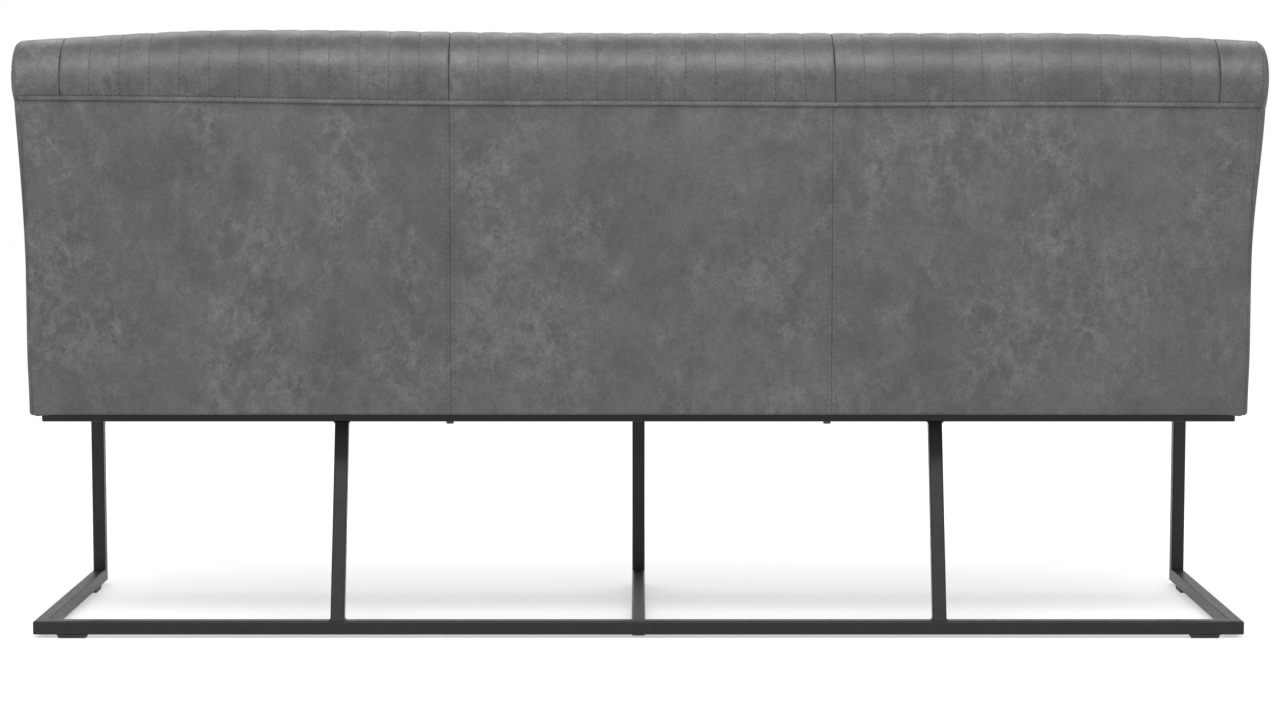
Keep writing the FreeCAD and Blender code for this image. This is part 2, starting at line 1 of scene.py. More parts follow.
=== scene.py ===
import json
import math
import bmesh
import bpy
import numpy as np
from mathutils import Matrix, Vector

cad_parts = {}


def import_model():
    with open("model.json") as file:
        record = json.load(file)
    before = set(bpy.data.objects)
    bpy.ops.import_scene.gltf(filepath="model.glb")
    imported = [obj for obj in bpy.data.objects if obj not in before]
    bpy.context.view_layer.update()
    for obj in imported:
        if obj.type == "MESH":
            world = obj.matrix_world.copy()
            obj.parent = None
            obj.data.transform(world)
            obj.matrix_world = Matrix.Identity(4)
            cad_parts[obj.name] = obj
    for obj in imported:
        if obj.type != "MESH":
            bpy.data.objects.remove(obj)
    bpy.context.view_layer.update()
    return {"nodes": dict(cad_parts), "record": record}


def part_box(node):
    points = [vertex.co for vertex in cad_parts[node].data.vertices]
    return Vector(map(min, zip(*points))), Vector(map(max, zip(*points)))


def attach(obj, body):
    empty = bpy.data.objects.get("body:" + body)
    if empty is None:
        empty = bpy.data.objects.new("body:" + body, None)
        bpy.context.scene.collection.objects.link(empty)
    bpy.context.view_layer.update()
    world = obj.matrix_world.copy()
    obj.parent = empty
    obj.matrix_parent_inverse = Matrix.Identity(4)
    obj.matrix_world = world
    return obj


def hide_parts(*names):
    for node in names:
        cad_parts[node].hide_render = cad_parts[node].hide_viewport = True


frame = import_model()

# A dining bench in grey leatherette on a black steel frame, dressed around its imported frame.
# Metres. Across the bench, places are given as u, forward from the shell's rear face, and z.

# Places read from the frame
panel_low, panel_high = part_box("rear_panel_middle")
quilt_low, quilt_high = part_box("back_quilt_middle")
seat_low, seat_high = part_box("seat_cover_middle")
REAR_Y = panel_high.y
SECTION_X = panel_high.x
SHELL_Z = panel_low.z
SEAM_Z = panel_high.z
TOP_Z = quilt_high.z
DECK_Z = quilt_low.z
BULGE = quilt_high.y - REAR_Y
FRONT_U = REAR_Y - seat_low.y
FOAM_U = REAR_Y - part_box("back_webbing")[0].y
BORDER_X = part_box("back_quilt_right")[1].x
END_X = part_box("rear_panel_right")[1].x
SIDE_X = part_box("seat_side_cover_right")[1].x
TOP_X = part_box("back_end_cap_right")[1].x
SEAT_EDGE_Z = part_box("seat_border_right")[1].z
SEAT_TOP_Z = seat_high.z
BOARD_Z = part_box("seat_front_board")[0].z

# Roll of the back
ROLL_REAR_RADIUS = 0.062
ROLL_FRONT_RADIUS = 0.046
BACK_LEAN = math.radians(5.7)
FOLD_RADIUS = 0.0009  # folded edge that laps over the rear panels
END_DROP = 0.0125  # top of the back lower at its ends
DROP_START = 0.60
DROP_POWER = 1.5
FULLER = 0.0046  # one section of the back is padded a little fuller
FULLER_X = 0.52
FULLER_SPAN = 0.26
SEAM_LAP = 0.0049  # the roll laps this far over the rear panels
SEAM_TILT = 0.0015  # slope of the rear seam along the bench
SEAM_RISE = 0.0080  # and its climb to the fuller end
RISE_START = 0.15
RISE_POWER = 1.25
SEAM_WAVE = 0.0006  # hand-sewn waver of the rear seam
SEAM_WAVE_LENGTH = 0.62
CREST_U = ROLL_REAR_RADIUS - BULGE
SEAM_DEPTH = TOP_Z - ROLL_REAR_RADIUS - SEAM_Z
SEAM_SLANT = 0.0035  # one section seam leans across the roll
SLANT_REACH = 0.12
FOLD_POINTS = 8  # points along the parts of the back's outer line
HEM_POINTS = 22
UNDER_POINTS = 14
OVER_POINTS = 30
DOWN_POINTS = 20
FALL_POINTS = 62
HEM_PART = 0.3  # part of the roll's lower curve with the closer points

# Sewn channels
CHANNELS = 13
SEAM_DRIFT = 0.0078  # two seams were sewn this far nearer the middle than their mates
BORDER_DRIFT = 0.0033
SEAM_X = {"left": SECTION_X, "right": SECTION_X - SEAM_DRIFT}
BORDER_SEAM_X = {"left": BORDER_X, "right": BORDER_X - BORDER_DRIFT}
STITCH_PULL = 0.0018  # how far a row of stitches draws the cover in
STITCH_REACH = 0.0024
PUFF = 0.0020  # swell of the padding between two rows
REAR_SHARE = 0.11  # shallower over the roll's rear than down the inner back
FULL_START = 0.6  # radii of the roll behind its crest where they start to deepen
FULL_SPAN = 1.8
SEAM_PULL = 0.0019  # a section seam is drawn in further
SEAM_REACH = 0.0009
RIPPLE = 0.00035  # unevenness of the padding
RIPPLE_START = 0.02  # where it has set in above the folded edge
BACK_RIPPLE_SIZE = 0.05
BACK_RIPPLE_SEED = 11
WAVES = 7  # added up in each unevenness
WAVE_SPREAD = (0.6, 1.6)
CHANNEL_STEPS = (0.0007, 0.0016, 0.003, 0.0052, 0.0085, 0.013)
BORDER_STEPS = (0.0007, 0.0016, 0.003, 0.0055, 0.01, 0.017, 0.026, 0.036)

# Stitches
STITCH_PITCH = 0.0077
STITCH_LENGTH = 0.0050
THREAD = 0.0006  # radius
HOLE_LENGTH = 0.0024  # needle hole between two stitches
HOLE = 0.00065
SMALL_HOLE = 0.00055
HOLE_SINK = 0.55  # in radii
ROD_SIDES = 6
ROD_REACH = (-0.5, -0.34, 0.34, 0.5)  # rings of a stitch, in shares of its length and radius
ROD_SWELL = (0.4, 1.0, 1.0, 0.4)
ROW_START = 2.3  # hem widths above the folded edge where the channels' rows begin
HEM_PITCH = 0.0068
HEM_LINE = 0.0064  # stitches above the folded edge
HEM_GROOVE = 0.0008
HEM_GROOVE_REACH = 0.0011
HEM_RIDGE = 0.0022
HEM_RIDGE_LINE = 0.0011
HEM_RIDGE_REACH = 0.0029
TOP_STITCH = 0.006  # stitches beside a flat seam
TOP_GROOVE = 0.0004  # their groove on the rear panels, and on the seat
TOP_GROOVE_REACH = 0.0012
SEAT_GROOVE = 0.0005
SEAT_GROOVE_REACH = 0.0014

# Ends of the back
FLARE_START = 0.53
FLARE_END = 0.84
EDGE_AT_TOP = {"left": 0.015, "right": 0.0095}  # rounding of the ends at the roll, and at their foot
EDGE_AT_FOOT = 0.005
END_SEAM = {"left": 0.0012, "right": 0.010}  # seam on the roll's shoulder, further round on one side
END_CLIMB = {"left": 0.030, "right": 0.048}  # height above the rear seam where it is that far round
CLIMB_POWER = 7
LEAST_SEAM = 0.0004
SEAM_SINK = 0.0012
SHOULDER_STEPS = ((0.03, 0), (0.12, 0), (0.27, 0), (0.45, 0), (0.7, 0.0002), (1.0, SEAM_SINK))
END_STEPS = ((0, SEAM_SINK), (0.0006, SEAM_SINK / 2), (0.0013, SEAM_SINK / 10), (0.0024, 0), (0.004, 0),
             (0.006, 0), (0.009, 0), (0.013, 0), (0.018, 0), (0.025, 0), (0.034, 0))
CLOSING_STEPS = (0.4, 0.75, 1.0)  # from the last of these to the line in the middle
FULL_DEPTH = 1.0  # reaches that line from everywhere
BEHIND_INSET = 0.004  # hidden rear edge of a padded end
END_STITCH_PLACE = 0.4  # of the way over the shoulder
END_STITCH_UP = 0.8
END_STITCH_OUT = 0.6
SEAM_RUN = 0.08  # over this height it comes back to the edge at the seat
FOOT_TAPER = 0.002  # the ends draw in a little to the floor
TAPER_TOP = 0.42
TAPER_SPAN = 0.09
PILLOW = 0.002  # swell of a padded end towards its middle
PILLOW_RUN = 0.8
END_SWELL = 0.002  # the padding stands this proud of the ends at their foot
FLARE_INSET = 0.0045  # and stays this far inside them at the roll
END_LEAN = 0.0028  # both ends lean the same way from the seat up
LEAN_START = 0.55
LEAN_SPAN = 0.20
DECK_POINTS = 10  # points down the front, under, round and up the rear of an end
UNDERSIDE_POINTS = 16
FOOT_POINTS = 7
REAR_POINTS = 60

# Rear panels
PANEL_FOOT = 0.0035  # rounding at the lower edge
PANEL_TUCK = 0.030  # turned in below
TUCK_THICKNESS = 0.0006
PANEL_SWELL = 0.0012
PANEL_SWELL_POWER = 0.6
PANEL_SWELL_REACH = 0.06
PANEL_RISE = 0.0010  # its padding stands up under the folded edge
PANEL_RISE_REACH = 0.005
PANEL_RIDGE = 0.0009  # one panel laps over the next beside their seam
PANEL_RIDGE_LINE = 0.002
PANEL_RIDGE_REACH = 0.0016
PANEL_PULL = 0.0007  # a seam between panels, and one at an end
PANEL_PULL_REACH = 0.0007
PANEL_EDGE_PULL = 0.0012
PANEL_EDGE_REACH = 0.0009
PANEL_SINK = 0.0013  # no seam sinks deeper than this
CORNER_SAG = 0.0025  # the lower corners hang a little
CORNER_ROUND = 0.007
SAG_START = 0.845
SAG_HEIGHT = 0.05
SAG_REACH = 0.055
COVER_THICKNESS = 0.0014
PANEL_RIPPLE_SIZE = 0.11
PANEL_RIPPLE_SEED = 23
PAST_SEAM_X = SECTION_X + 0.01  # what reaches further out is at an end
PANEL_STEPS = (0, 0.0006, 0.0013, 0.0022, 0.0034, 0.0046, TOP_STITCH, 0.0075, 0.01, 0.014, 0.02, 0.03)
PANEL_COLUMNS = 24
FIRST_STITCH = 0.005  # below the folded edge
PANEL_DROPS = (-0.003, 0.0, 0.0006, 0.0013, 0.0022, 0.0035, FIRST_STITCH, 0.008, 0.013, 0.02)
PANEL_TOP = 0.03
PANEL_ROWS = 46

# Seat
SEAT_NOSE = 0.045
SEAT_REAR_ROUND = 0.020
SEAT_BOW = 0.006  # swell of the seat from rear to front
LEAST_BOW = 0.3  # share of it at a seam
BOW_POWER = 0.8
CROWN_POWER = 3.2
SEAT_FRONT_CROWN = 0.004
SEAT_SEAM_PULL = 0.004
SEAT_SEAM_REACH = 0.006
SEAT_LIP = 0.030
LIP_CLEARANCE = 0.0004  # under the front board
SEAT_STEPS = (0, 0.0008, 0.0018, 0.003, 0.0045, TOP_STITCH, 0.008, 0.011, 0.016)
CROWN_STEPS = (0.024, 0.036, 0.052, 0.072)
CUSHION_COLUMNS = 44
BORDER_COLUMNS = 4
CREASE_POINTS = 6  # points along the parts of the seat's outer line
REAR_ROUND_POINTS = 9
TOP_POINTS = 52
NOSE_POINTS = 18
FACE_POINTS = 16
LIP_POINTS = 6
INSIDE_POINTS = 4
SEAT_TOP_START = CREASE_POINTS + REAR_ROUND_POINTS - 2
SEAT_FACE_START = SEAT_TOP_START + TOP_POINTS + NOSE_POINTS - 2
SEAT_RIPPLES = ((0.0011, 0.13, 31), (0.0005, 0.045, 37))  # depth, size and seed of its unevenness
SOFT_ABOVE = 0.03  # which starts this far above the deck and beside a seam
SOFT_REACH = 0.05
END_MARGIN = 0.02
CLOTH_STEPS = 20  # simulated steps of the seat covers
CLOTH = {"quality": 5, "mass": 0.3, "tension_stiffness": 300.0, "compression_stiffness": 300.0,
         "shear_stiffness": 150.0, "bending_stiffness": 1.5, "use_pressure": True,
         "uniform_pressure_force": 4.0, "shrink_min": -0.002}
CLOTH_REACH = 0.012  # no point moves further than this
CREASE_PRESS = 0.0028  # the seat presses into the back
SIDE_PRESS = 0.0025  # and its sides press in further
SIDE_PRESS_REACH = 0.03
SIDE_STEPS = ((0.0004, 0.001), (0.001, 0.0003), (0.0018, 0), (0.003, 0), (0.0045, 0), (0.006, 0),
              (0.01, 0), (0.018, 0), (0.03, 0))
SIDE_FOOT_POINTS = 40
SIDE_REAR_POINTS = 8

# Dust cover and its staples
DUST_GRID = (121, 41)
DUST_LIFT = 0.0003
DUST_SAG = 0.0002
DUST_RIPPLE_SIZE = 0.09
DUST_RIPPLE_SEED = 41
DUST_EDGE = 0.03
STAPLE_PITCH = 0.055
STAPLE_INSET = 0.034  # just inside the turned-in covers
STAPLE_LENGTH = 0.011
STAPLE = 0.0005  # radius

# Camera, from the corners of the frame in a picture 1280 wide
PICTURE_WIDTH = 1280
AXIS_PIXEL = 638.5
CAMERA_BACK = 4.1735  # behind the shell
CAMERA_HEIGHT = 0.7718
CAMERA_PITCH = 5.02
FOCAL_PIXELS = 2913
SENSOR = 36.0

# Studio
SKY = 1.0
FLOOR_SIZE = 30.0
FLOOR_Z = -0.0003
FLOOR_GLOW = 0.49
SOFTBOX_REACH = 3.6
SOFTBOX_RISE = math.radians(44)
SOFTBOX_SIZE = (4.0, 0.94)
REAR_LIGHT = 163
FRONT_LIGHT = 58

# Finishes: tones from dark to pale
LEATHER_TONES = (0.054, 0.065)
LEATHER_PALE = (0.089, 0.115)
LEATHER_ROUGHNESS = (0.45, 0.55)
MOTTLES = ((0.40, 0.70), (0.58, 1.0))  # strength of each kind of mark over its noise
CLOUDS = ((0.40, 0.12), (0.62, 1.0))
WISPS = ((0.46, 0.0), (0.74, 1.0))
VEINS = ((0.475, 0.0), (0.5, 0.45), (0.525, 0.0))
SCRATCHES = ((0.75, 0.0), (1.0, 0.30))
SPECKS = ((0.36, 0.66), (0.64, 1.0))
VEIN_SCALES = (11.0, 19.0)
SCRATCH_STRETCHES = ((1, 1, 0.12), (0.12, 1, 1))
NOISE_RANGE = (0.3, 0.7)
GLOSS_SPREAD = 0.06
GLOSS_FINER = 2  # than the tone's noise
BUMP_FINER = 12
BUMP_DEPTH = 0.0002
MIX_SHARE, MIX_FIRST, MIX_SECOND, MIX_COLOUR = 0, 6, 7, 2  # sockets of a colour mix

SIDES = {"left": -1, "right": 1}
WELD = 0.00005
SHARP_ANGLE = 38  # edges sharper than this stay edges
ROD_SHARP_ANGLE = 60
TINY = 1e-9


def smooth(share):
    """A soft step from 0 to 1."""
    share = np.clip(share, 0, 1)
    return share * share * (3 - 2 * share)


def ripple(x, s, size, seed):
    """Soft unevenness between -1 and 1 over a surface, the same each run."""
    rng = np.random.RandomState(seed)
    total = 0
    for _ in range(WAVES):
        turn = rng.uniform(0, 2 * math.pi)
        scale = 2 * math.pi / (size * rng.uniform(*WAVE_SPREAD))
        phase = rng.uniform(0, 2 * math.pi)
        total = total + np.sin(scale * (x * math.cos(turn) + s * math.sin(turn)) + phase)
    return total / WAVES


def hump(distance, reach):
    """A soft hump that falls off over a reach."""
    return np.exp(-(distance / reach) ** 2)


def world(x, u, z):
    """Points of the row frame from places along and across the bench."""
    x, u, z = np.broadcast_arrays(x, u, z)
    return np.stack([x, REAR_Y - u, z], axis=-1)


def normals_of(normal_u, normal_z):
    """Normals of the row frame from their parts across the bench."""
    return np.stack([0 * normal_u, -normal_u, normal_z], axis=-1)


def lengths(points):
    """Distance along a line of points from its start."""
    steps = np.linalg.norm(np.diff(points, axis=0), axis=1)
    return np.concatenate([[0], np.cumsum(steps)])


# Pieces

def finish_piece(piece, material, nodes=()):
    """Gives a new piece its material and its body, and hides the CAD nodes it replaces."""
    piece.data.materials.append(material)
    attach(piece, "root")
    if nodes:
        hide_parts(*nodes)


def piece_from(name, points, faces, weld=0.0, sharp=SHARP_ANGLE):
    """A smooth mesh object."""
    mesh = bpy.data.meshes.new(name)
    mesh.from_pydata(np.asarray(points).reshape(-1, 3).tolist(), [], faces)
    shape = bmesh.new()
    shape.from_mesh(mesh)
    if weld:
        bmesh.ops.remove_doubles(shape, verts=shape.verts, dist=weld)
    bmesh.ops.recalc_face_normals(shape, faces=shape.faces)
    shape.to_mesh(mesh)
    shape.free()
    mesh.polygons.foreach_set("use_smooth", [True] * len(mesh.polygons))
    mesh.set_sharp_from_angle(angle=math.radians(sharp))
    piece = bpy.data.objects.new(name, mesh)
    bpy.context.collection.objects.link(piece)
    return piece


def ring_faces(rows, columns, capped=True):
    """Faces of a skin over rings of points, with its two ends filled if it is capped."""
    faces = []
    for i in range(rows - 1):
        for j in range(columns):
            k = (j + 1) % columns
            faces.append((i * columns + j, i * columns + k, (i + 1) * columns + k, (i + 1) * columns + j))
    if capped:
        faces += [list(range(columns)), list(range((rows - 1) * columns, rows * columns))]
    return faces


def grid_faces(rows, columns):
    """Faces of an open sheet over rows of points."""
    return [(i * columns + j, i * columns + j + 1, (i + 1) * columns + j + 1, (i + 1) * columns + j)
            for i in range(rows - 1) for j in range(columns - 1)]


def skin(name, rings, capped=True):
    """A closed piece through rings of points; without caps they shrink to a line at both ends."""
    rows, columns = rings.shape[:2]
    return piece_from(name, rings, ring_faces(rows, columns, capped), weld=0.0 if capped else WELD)


# Stitches

def stitch_places(row, shift):
    """Middles, directions and normals of the stitches, or of their needle holes, of one sewn row."""
    points, normals, pitch, start = row
    along = lengths(points)
    count = int((along[-1] - start) / pitch)
    middles = start + pitch * (np.arange(count) + shift)

    def between(values, places):
        return np.stack([np.interp(places, along, values[:, k]) for k in range(3)], axis=-1)

    middle = between(points, middles)
    ahead = between(points, middles + STITCH_LENGTH / 2) - between(points, middles - STITCH_LENGTH / 2)
    ahead /= np.linalg.norm(ahead, axis=1, keepdims=True)
    up = between(normals, middles)
    up -= ahead * np.sum(up * ahead, axis=1, keepdims=True)
    up /= np.linalg.norm(up, axis=1, keepdims=True)
    return middle, ahead, up


def capsules(name, places, length, radius, lift):
    """Short rounded rods at places on a surface, raised by a lift."""
    reach = np.array(ROD_REACH) * length
    swell = np.array(ROD_SWELL) * radius
    middle, ahead, up = (np.concatenate(part) for part in zip(*places))
    side = np.cross(ahead, up)
    angle = 2 * math.pi * np.arange(ROD_SIDES) / ROD_SIDES
    points = (middle[:, None, None] + ahead[:, None, None] * reach[None, :, None, None]
              + up[:, None, None] * (lift + swell[:, None] * np.sin(angle))[None, :, :, None]
              + side[:, None, None] * (swell[:, None] * np.cos(angle))[None, :, :, None])
    template = ring_faces(len(reach), ROD_SIDES)
    size = len(reach) * ROD_SIDES
    faces = [[k * size + corner for corner in face] for k in range(len(middle)) for face in template]
    return piece_from(name, points, faces, sharp=ROD_SHARP_ANGLE)


def sew(name, rows, thread, shade, hole=HOLE):
    """The stitches of sewn rows, half sunk in the cover, and the needle holes between them."""
    threads = [stitch_places(row, 0.5) for row in rows]
    holes = [stitch_places(row, 0.0) for row in rows]
    finish_piece(capsules(name + "_stitches", threads, STITCH_LENGTH, THREAD, 0.0), thread)
    # the needle holes are small sunk capsules whose dark colour is painted shade
    sunk = capsules(name + "_needle_holes", holes, HOLE_LENGTH * hole / HOLE, hole, -hole * HOLE_SINK)
    finish_piece(sunk, shade)


# Lines of the back

def end_drop(x):
    """How much lower the top of the back is at x."""
    share = np.clip((np.abs(x) - DROP_START) / (TOP_X - DROP_START), 0, 1)
    return END_DROP * share ** DROP_POWER - FULLER * hump(x - FULLER_X, FULLER_SPAN)


def seam_z(x):
    """Height of the rear seam at x, not quite level."""
    wave = np.cos(2 * math.pi * (x + SECTION_X) / SEAM_WAVE_LENGTH)
    climb = np.clip((x - RISE_START) / (TOP_X - RISE_START), 0, 1) ** RISE_POWER
    return SEAM_Z - SEAM_LAP + SEAM_TILT * x / TOP_X + SEAM_RISE * climb - SEAM_WAVE * wave


def back_line(x):
    """The back's outer line at each x: points, outward normals and distance above its folded edge."""
    x = np.atleast_1d(x)[:, None]
    drop = end_drop(x)
    bulge_z = TOP_Z - ROLL_REAR_RADIUS - drop
    edge_z = seam_z(x)
    rise = bulge_z - edge_z - FOLD_RADIUS
    swell = BULGE - 2 * FOLD_RADIUS
    under_radius = (swell ** 2 + rise ** 2) / (2 * swell)
    dip = np.arcsin(rise / under_radius)

    parts = []

    def add_arc(centre_u, centre_z, radius, angle):
        angle = angle + 0 * x
        cos, sin = np.cos(angle), np.sin(angle)
        parts.append([centre_u + radius * cos, centre_z + radius * sin, cos, sin])

    fold = np.linspace(0, -math.pi, FOLD_POINTS)[None, :-1]
    add_arc(-FOLD_RADIUS, edge_z + FOLD_RADIUS, FOLD_RADIUS, fold)
    near_hem = np.linspace(0, HEM_PART, HEM_POINTS)[:-1]
    climb = np.concatenate([near_hem, np.linspace(HEM_PART, 1, UNDER_POINTS)[:-1]])[None, :]
    add_arc(under_radius - BULGE, bulge_z, under_radius, math.pi + dip * (1 - climb))
    over = np.linspace(math.pi, math.pi / 2, OVER_POINTS)[None, :-1]
    add_arc(CREST_U, bulge_z, ROLL_REAR_RADIUS, over)
    down = np.linspace(math.pi / 2, BACK_LEAN, DOWN_POINTS)[None, :]
    add_arc(CREST_U, TOP_Z - drop - ROLL_FRONT_RADIUS, ROLL_FRONT_RADIUS, down)
    brow_u, brow_z = parts[-1][0][:, -1:], parts[-1][1][:, -1:]
    fall = np.linspace(0, 1, FALL_POINTS)[None, 1:]
    line_z = brow_z + (DECK_Z - brow_z) * fall
    line_u = brow_u + (brow_z - line_z) * math.tan(BACK_LEAN)
    parts.append([line_u, line_z, math.cos(BACK_LEAN) + 0 * line_u, math.sin(BACK_LEAN) + 0 * line_u])
    u, z, normal_u, normal_z = (np.concatenate([part[k] for part in parts], axis=1) for k in range(4))
    steps = np.hypot(np.diff(u, axis=1), np.diff(z, axis=1))
    along = np.concatenate([0 * x, np.cumsum(steps, axis=1)], axis=1) - math.pi * FOLD_RADIUS
    return u, z, normal_u, normal_z, along


def hem(along):
    """The ridge and the stitched groove beside the folded edge, as a lift of the surface."""
    ridge = HEM_RIDGE * hump(along - HEM_RIDGE_LINE, HEM_RIDGE_REACH)
    groove = HEM_GROOVE * hump(along - HEM_LINE, HEM_GROOVE_REACH)
    return (ridge - groove) * smooth(along / HEM_RIDGE_LINE)


def back_shift(x, along):
    """How far the sewn lines stray sideways."""
    reach = hump(x + SECTION_X, SLANT_REACH)
    roll = ROLL_REAR_RADIUS * math.pi / 2
    lean = SEAM_SLANT * (np.clip(along / roll, 0, 2) - 1)
    return reach * lean * (1 - smooth((along - 3 * roll) / roll))


def fullness(along):
    """Share of the channels' depth along the back's outer line."""
    crest = SEAM_DEPTH + ROLL_REAR_RADIUS * math.pi / 2
    deeper = smooth(((along - crest) / ROLL_REAR_RADIUS + FULL_START) / FULL_SPAN)
    return REAR_SHARE + (1 - REAR_SHARE) * deeper


def back_surface(x, lift):
    """Points and normals of the back's cover; lift(along) is added to its outer line."""
    u, z, normal_u, normal_z, along = back_line(x)
    x = x[:, None]
    raised = np.where(along > 0, lift(along), 0) + hem(along)
    points = world(x + back_shift(x, along), u + normal_u * raised, z + normal_z * raised)
    return points, normals_of(normal_u, normal_z), along


def closed_back(points, x):
    """Adds the hidden inner side to rings of the back's cover."""
    upper_z = seam_z(x) + 4 * FOLD_RADIUS
    corners_z = np.stack([DECK_Z + 0 * x, upper_z, upper_z], axis=1)
    inside = world(points[:, -1:, 0], np.array([[FOAM_U, FOAM_U, 0.0]]), corners_z)
    return np.concatenate([points, inside], axis=1)


def pull(distance, depth, reach):
    """How far a seam draws the cover in at a distance from it."""
    return depth * np.exp(-distance / reach)


def back_section(side, x0, x1, leather, rows):
    """One section of the back with its channels, and the lines its stitches follow."""
    pitch = (x1 - x0) / CHANNELS
    offsets = (0.0,) + CHANNEL_STEPS + (pitch / 2,) + tuple(pitch - d for d in reversed(CHANNEL_STEPS))
    x = np.array([x0 + k * pitch + d for k in range(CHANNELS) for d in offsets] + [x1])
    place = (x - x0) / pitch
    nearest = np.round(place)
    distance = np.abs(place - nearest) * pitch
    outer = (nearest == 0) | (nearest == CHANNELS)
    dip = np.where(outer, pull(distance, SEAM_PULL, SEAM_REACH), pull(distance, STITCH_PULL, STITCH_REACH))
    puff = PUFF * (1 - 2 * distance / pitch) ** 2

    def lift(along):
        sewn = smooth((along - HEM_RIDGE_LINE) / HEM_LINE)
        uneven = RIPPLE * ripple(x[:, None], along, BACK_RIPPLE_SIZE, BACK_RIPPLE_SEED)
        uneven = uneven * smooth(along / RIPPLE_START)
        share = np.where(outer[:, None], 1, fullness(along))
        return uneven - (dip[:, None] * share + puff[:, None] * fullness(along)) * sewn

    points, normals, along = back_surface(x, lift)
    piece = skin("back_cover_" + side, closed_back(points, x))
    for k in range(1, CHANNELS):
        row = k * len(offsets)
        rows.append((points[row], normals[row], STITCH_PITCH, ROW_START * HEM_LINE))
    hem_row(points, normals, along, rows)
    finish_piece(piece, leather, ("back_quilt_" + side, "back_foam_" + side))


def hem_row(points, normals, along, rows):
    """The row of stitches above the folded edge, in its groove."""

    def at_line(values):
        return np.array([[np.interp(HEM_LINE, places, line[:, k]) for k in range(3)]
                         for places, line in zip(along, values)])

    rows.append((at_line(points), at_line(normals), HEM_PITCH, 0.0))


# Ends of the back

def flare_x(z, sign):
    """How far out an end of the back reaches at a height."""
    taper = FOOT_TAPER * smooth((TAPER_TOP - z) / TAPER_SPAN)
    lean = sign * END_LEAN * smooth((z - LEAN_START) / LEAN_SPAN)
    flare = (TOP_X - FLARE_INSET - SIDE_X) * smooth((z - FLARE_START) / (FLARE_END - FLARE_START))
    below = np.clip(CORNER_ROUND - (z - SHELL_Z + CORNER_SAG), 0, CORNER_ROUND)
    corner = CORNER_ROUND - np.sqrt(CORNER_ROUND ** 2 - below ** 2)
    return SIDE_X + END_SWELL - taper - lean - corner + flare


def edge_radius(z, sign):
    """Rounding of the end's edge at a height."""
    share = smooth((z - FLARE_START) / (FLARE_END - FLARE_START))
    at_top = np.where(sign < 0, EDGE_AT_TOP["left"], EDGE_AT_TOP["right"])
    return EDGE_AT_FOOT + (at_top - EDGE_AT_FOOT) * share


def edge_x(z, sign):
    """Where the cover starts to round over to an end."""
    return flare_x(z, sign) - edge_radius(z, sign)


def corner_sag(x, z):
    """How far the lower corners hang at a place on the rear."""
    out = smooth((np.abs(x) - SAG_START) / (END_X - SAG_START))
    return CORNER_SAG * out * (1 - smooth((z - SHELL_Z - PANEL_FOOT) / SAG_HEIGHT))


def end_outline(x):
    """The back's outline at its end: points and outward normals."""
    u, z, normal_u, normal_z = (part[0] for part in back_line(x)[:4])
    foot_u = u[-1]
    low = SHELL_Z + PANEL_FOOT
    down_z = np.linspace(DECK_Z, SHELL_Z, DECK_POINTS)[1:]
    under_u = np.linspace(foot_u, PANEL_FOOT, UNDERSIDE_POINTS)[1:-1]
    turn = np.linspace(-math.pi / 2, -math.pi, FOOT_POINTS)
    up_z = np.linspace(low, seam_z(x), REAR_POINTS)[1:]
    u = np.concatenate([u, 0 * down_z + foot_u, under_u, PANEL_FOOT + PANEL_FOOT * np.cos(turn), 0 * up_z])
    z = np.concatenate([z, down_z, 0 * under_u + SHELL_Z, low + PANEL_FOOT * np.sin(turn), up_z])
    normal_u = np.concatenate([normal_u, 0 * down_z + 1, 0 * under_u, np.cos(turn), 0 * up_z - 1])
    normal_z = np.concatenate([normal_z, 0 * down_z, 0 * under_u - 1, np.sin(turn), 0 * up_z])
    z = z - corner_sag(x, z) * (1 - smooth(u / SAG_REACH))
    return u, z, normal_u, normal_z


def ring_maker(outline, spine, radius, start_x, sign):
    """A function for rings drawn in from an outline by a depth, over an edge rounded from start_x(z) out."""
    u, z, normal_u, normal_z = outline
    spine_u, spine_z = spine
    reach = np.hypot(spine_u - u, spine_z - z)

    def ring(depth, sink=0.0):
        depth = np.minimum(depth, reach)
        share = depth / reach
        tilt = np.arccos(np.clip(1 - depth / radius, 0, 1))
        ring_u = u + (spine_u - u) * share - normal_u * sink * np.cos(tilt)
        ring_z = z + (spine_z - z) * share - normal_z * sink * np.cos(tilt)
        pillowed = PILLOW * smooth((depth - radius) / (PILLOW_RUN * reach))
        out = start_x(ring_z) + radius * np.sin(tilt) + pillowed
        return world(sign * (out - sink * np.sin(tilt)), ring_u, ring_z)

    return ring


def padded_end(name, outline, spine, sign, ring, rings):
    """A padded piece over an end: its rings, closed to a line in the middle and behind."""
    u, z, normal_u, normal_z = outline
    behind_x = sign * (END_X - COVER_THICKNESS)
    behind = world(behind_x, u - normal_u * BEHIND_INSET, z - normal_z * BEHIND_INSET)
    last, middle = rings[-1], ring(FULL_DEPTH)
    closing = [last + (middle - last) * part for part in CLOSING_STEPS]
    return skin(name, np.array([world(behind_x, *spine), behind] + rings + closing), capped=False)


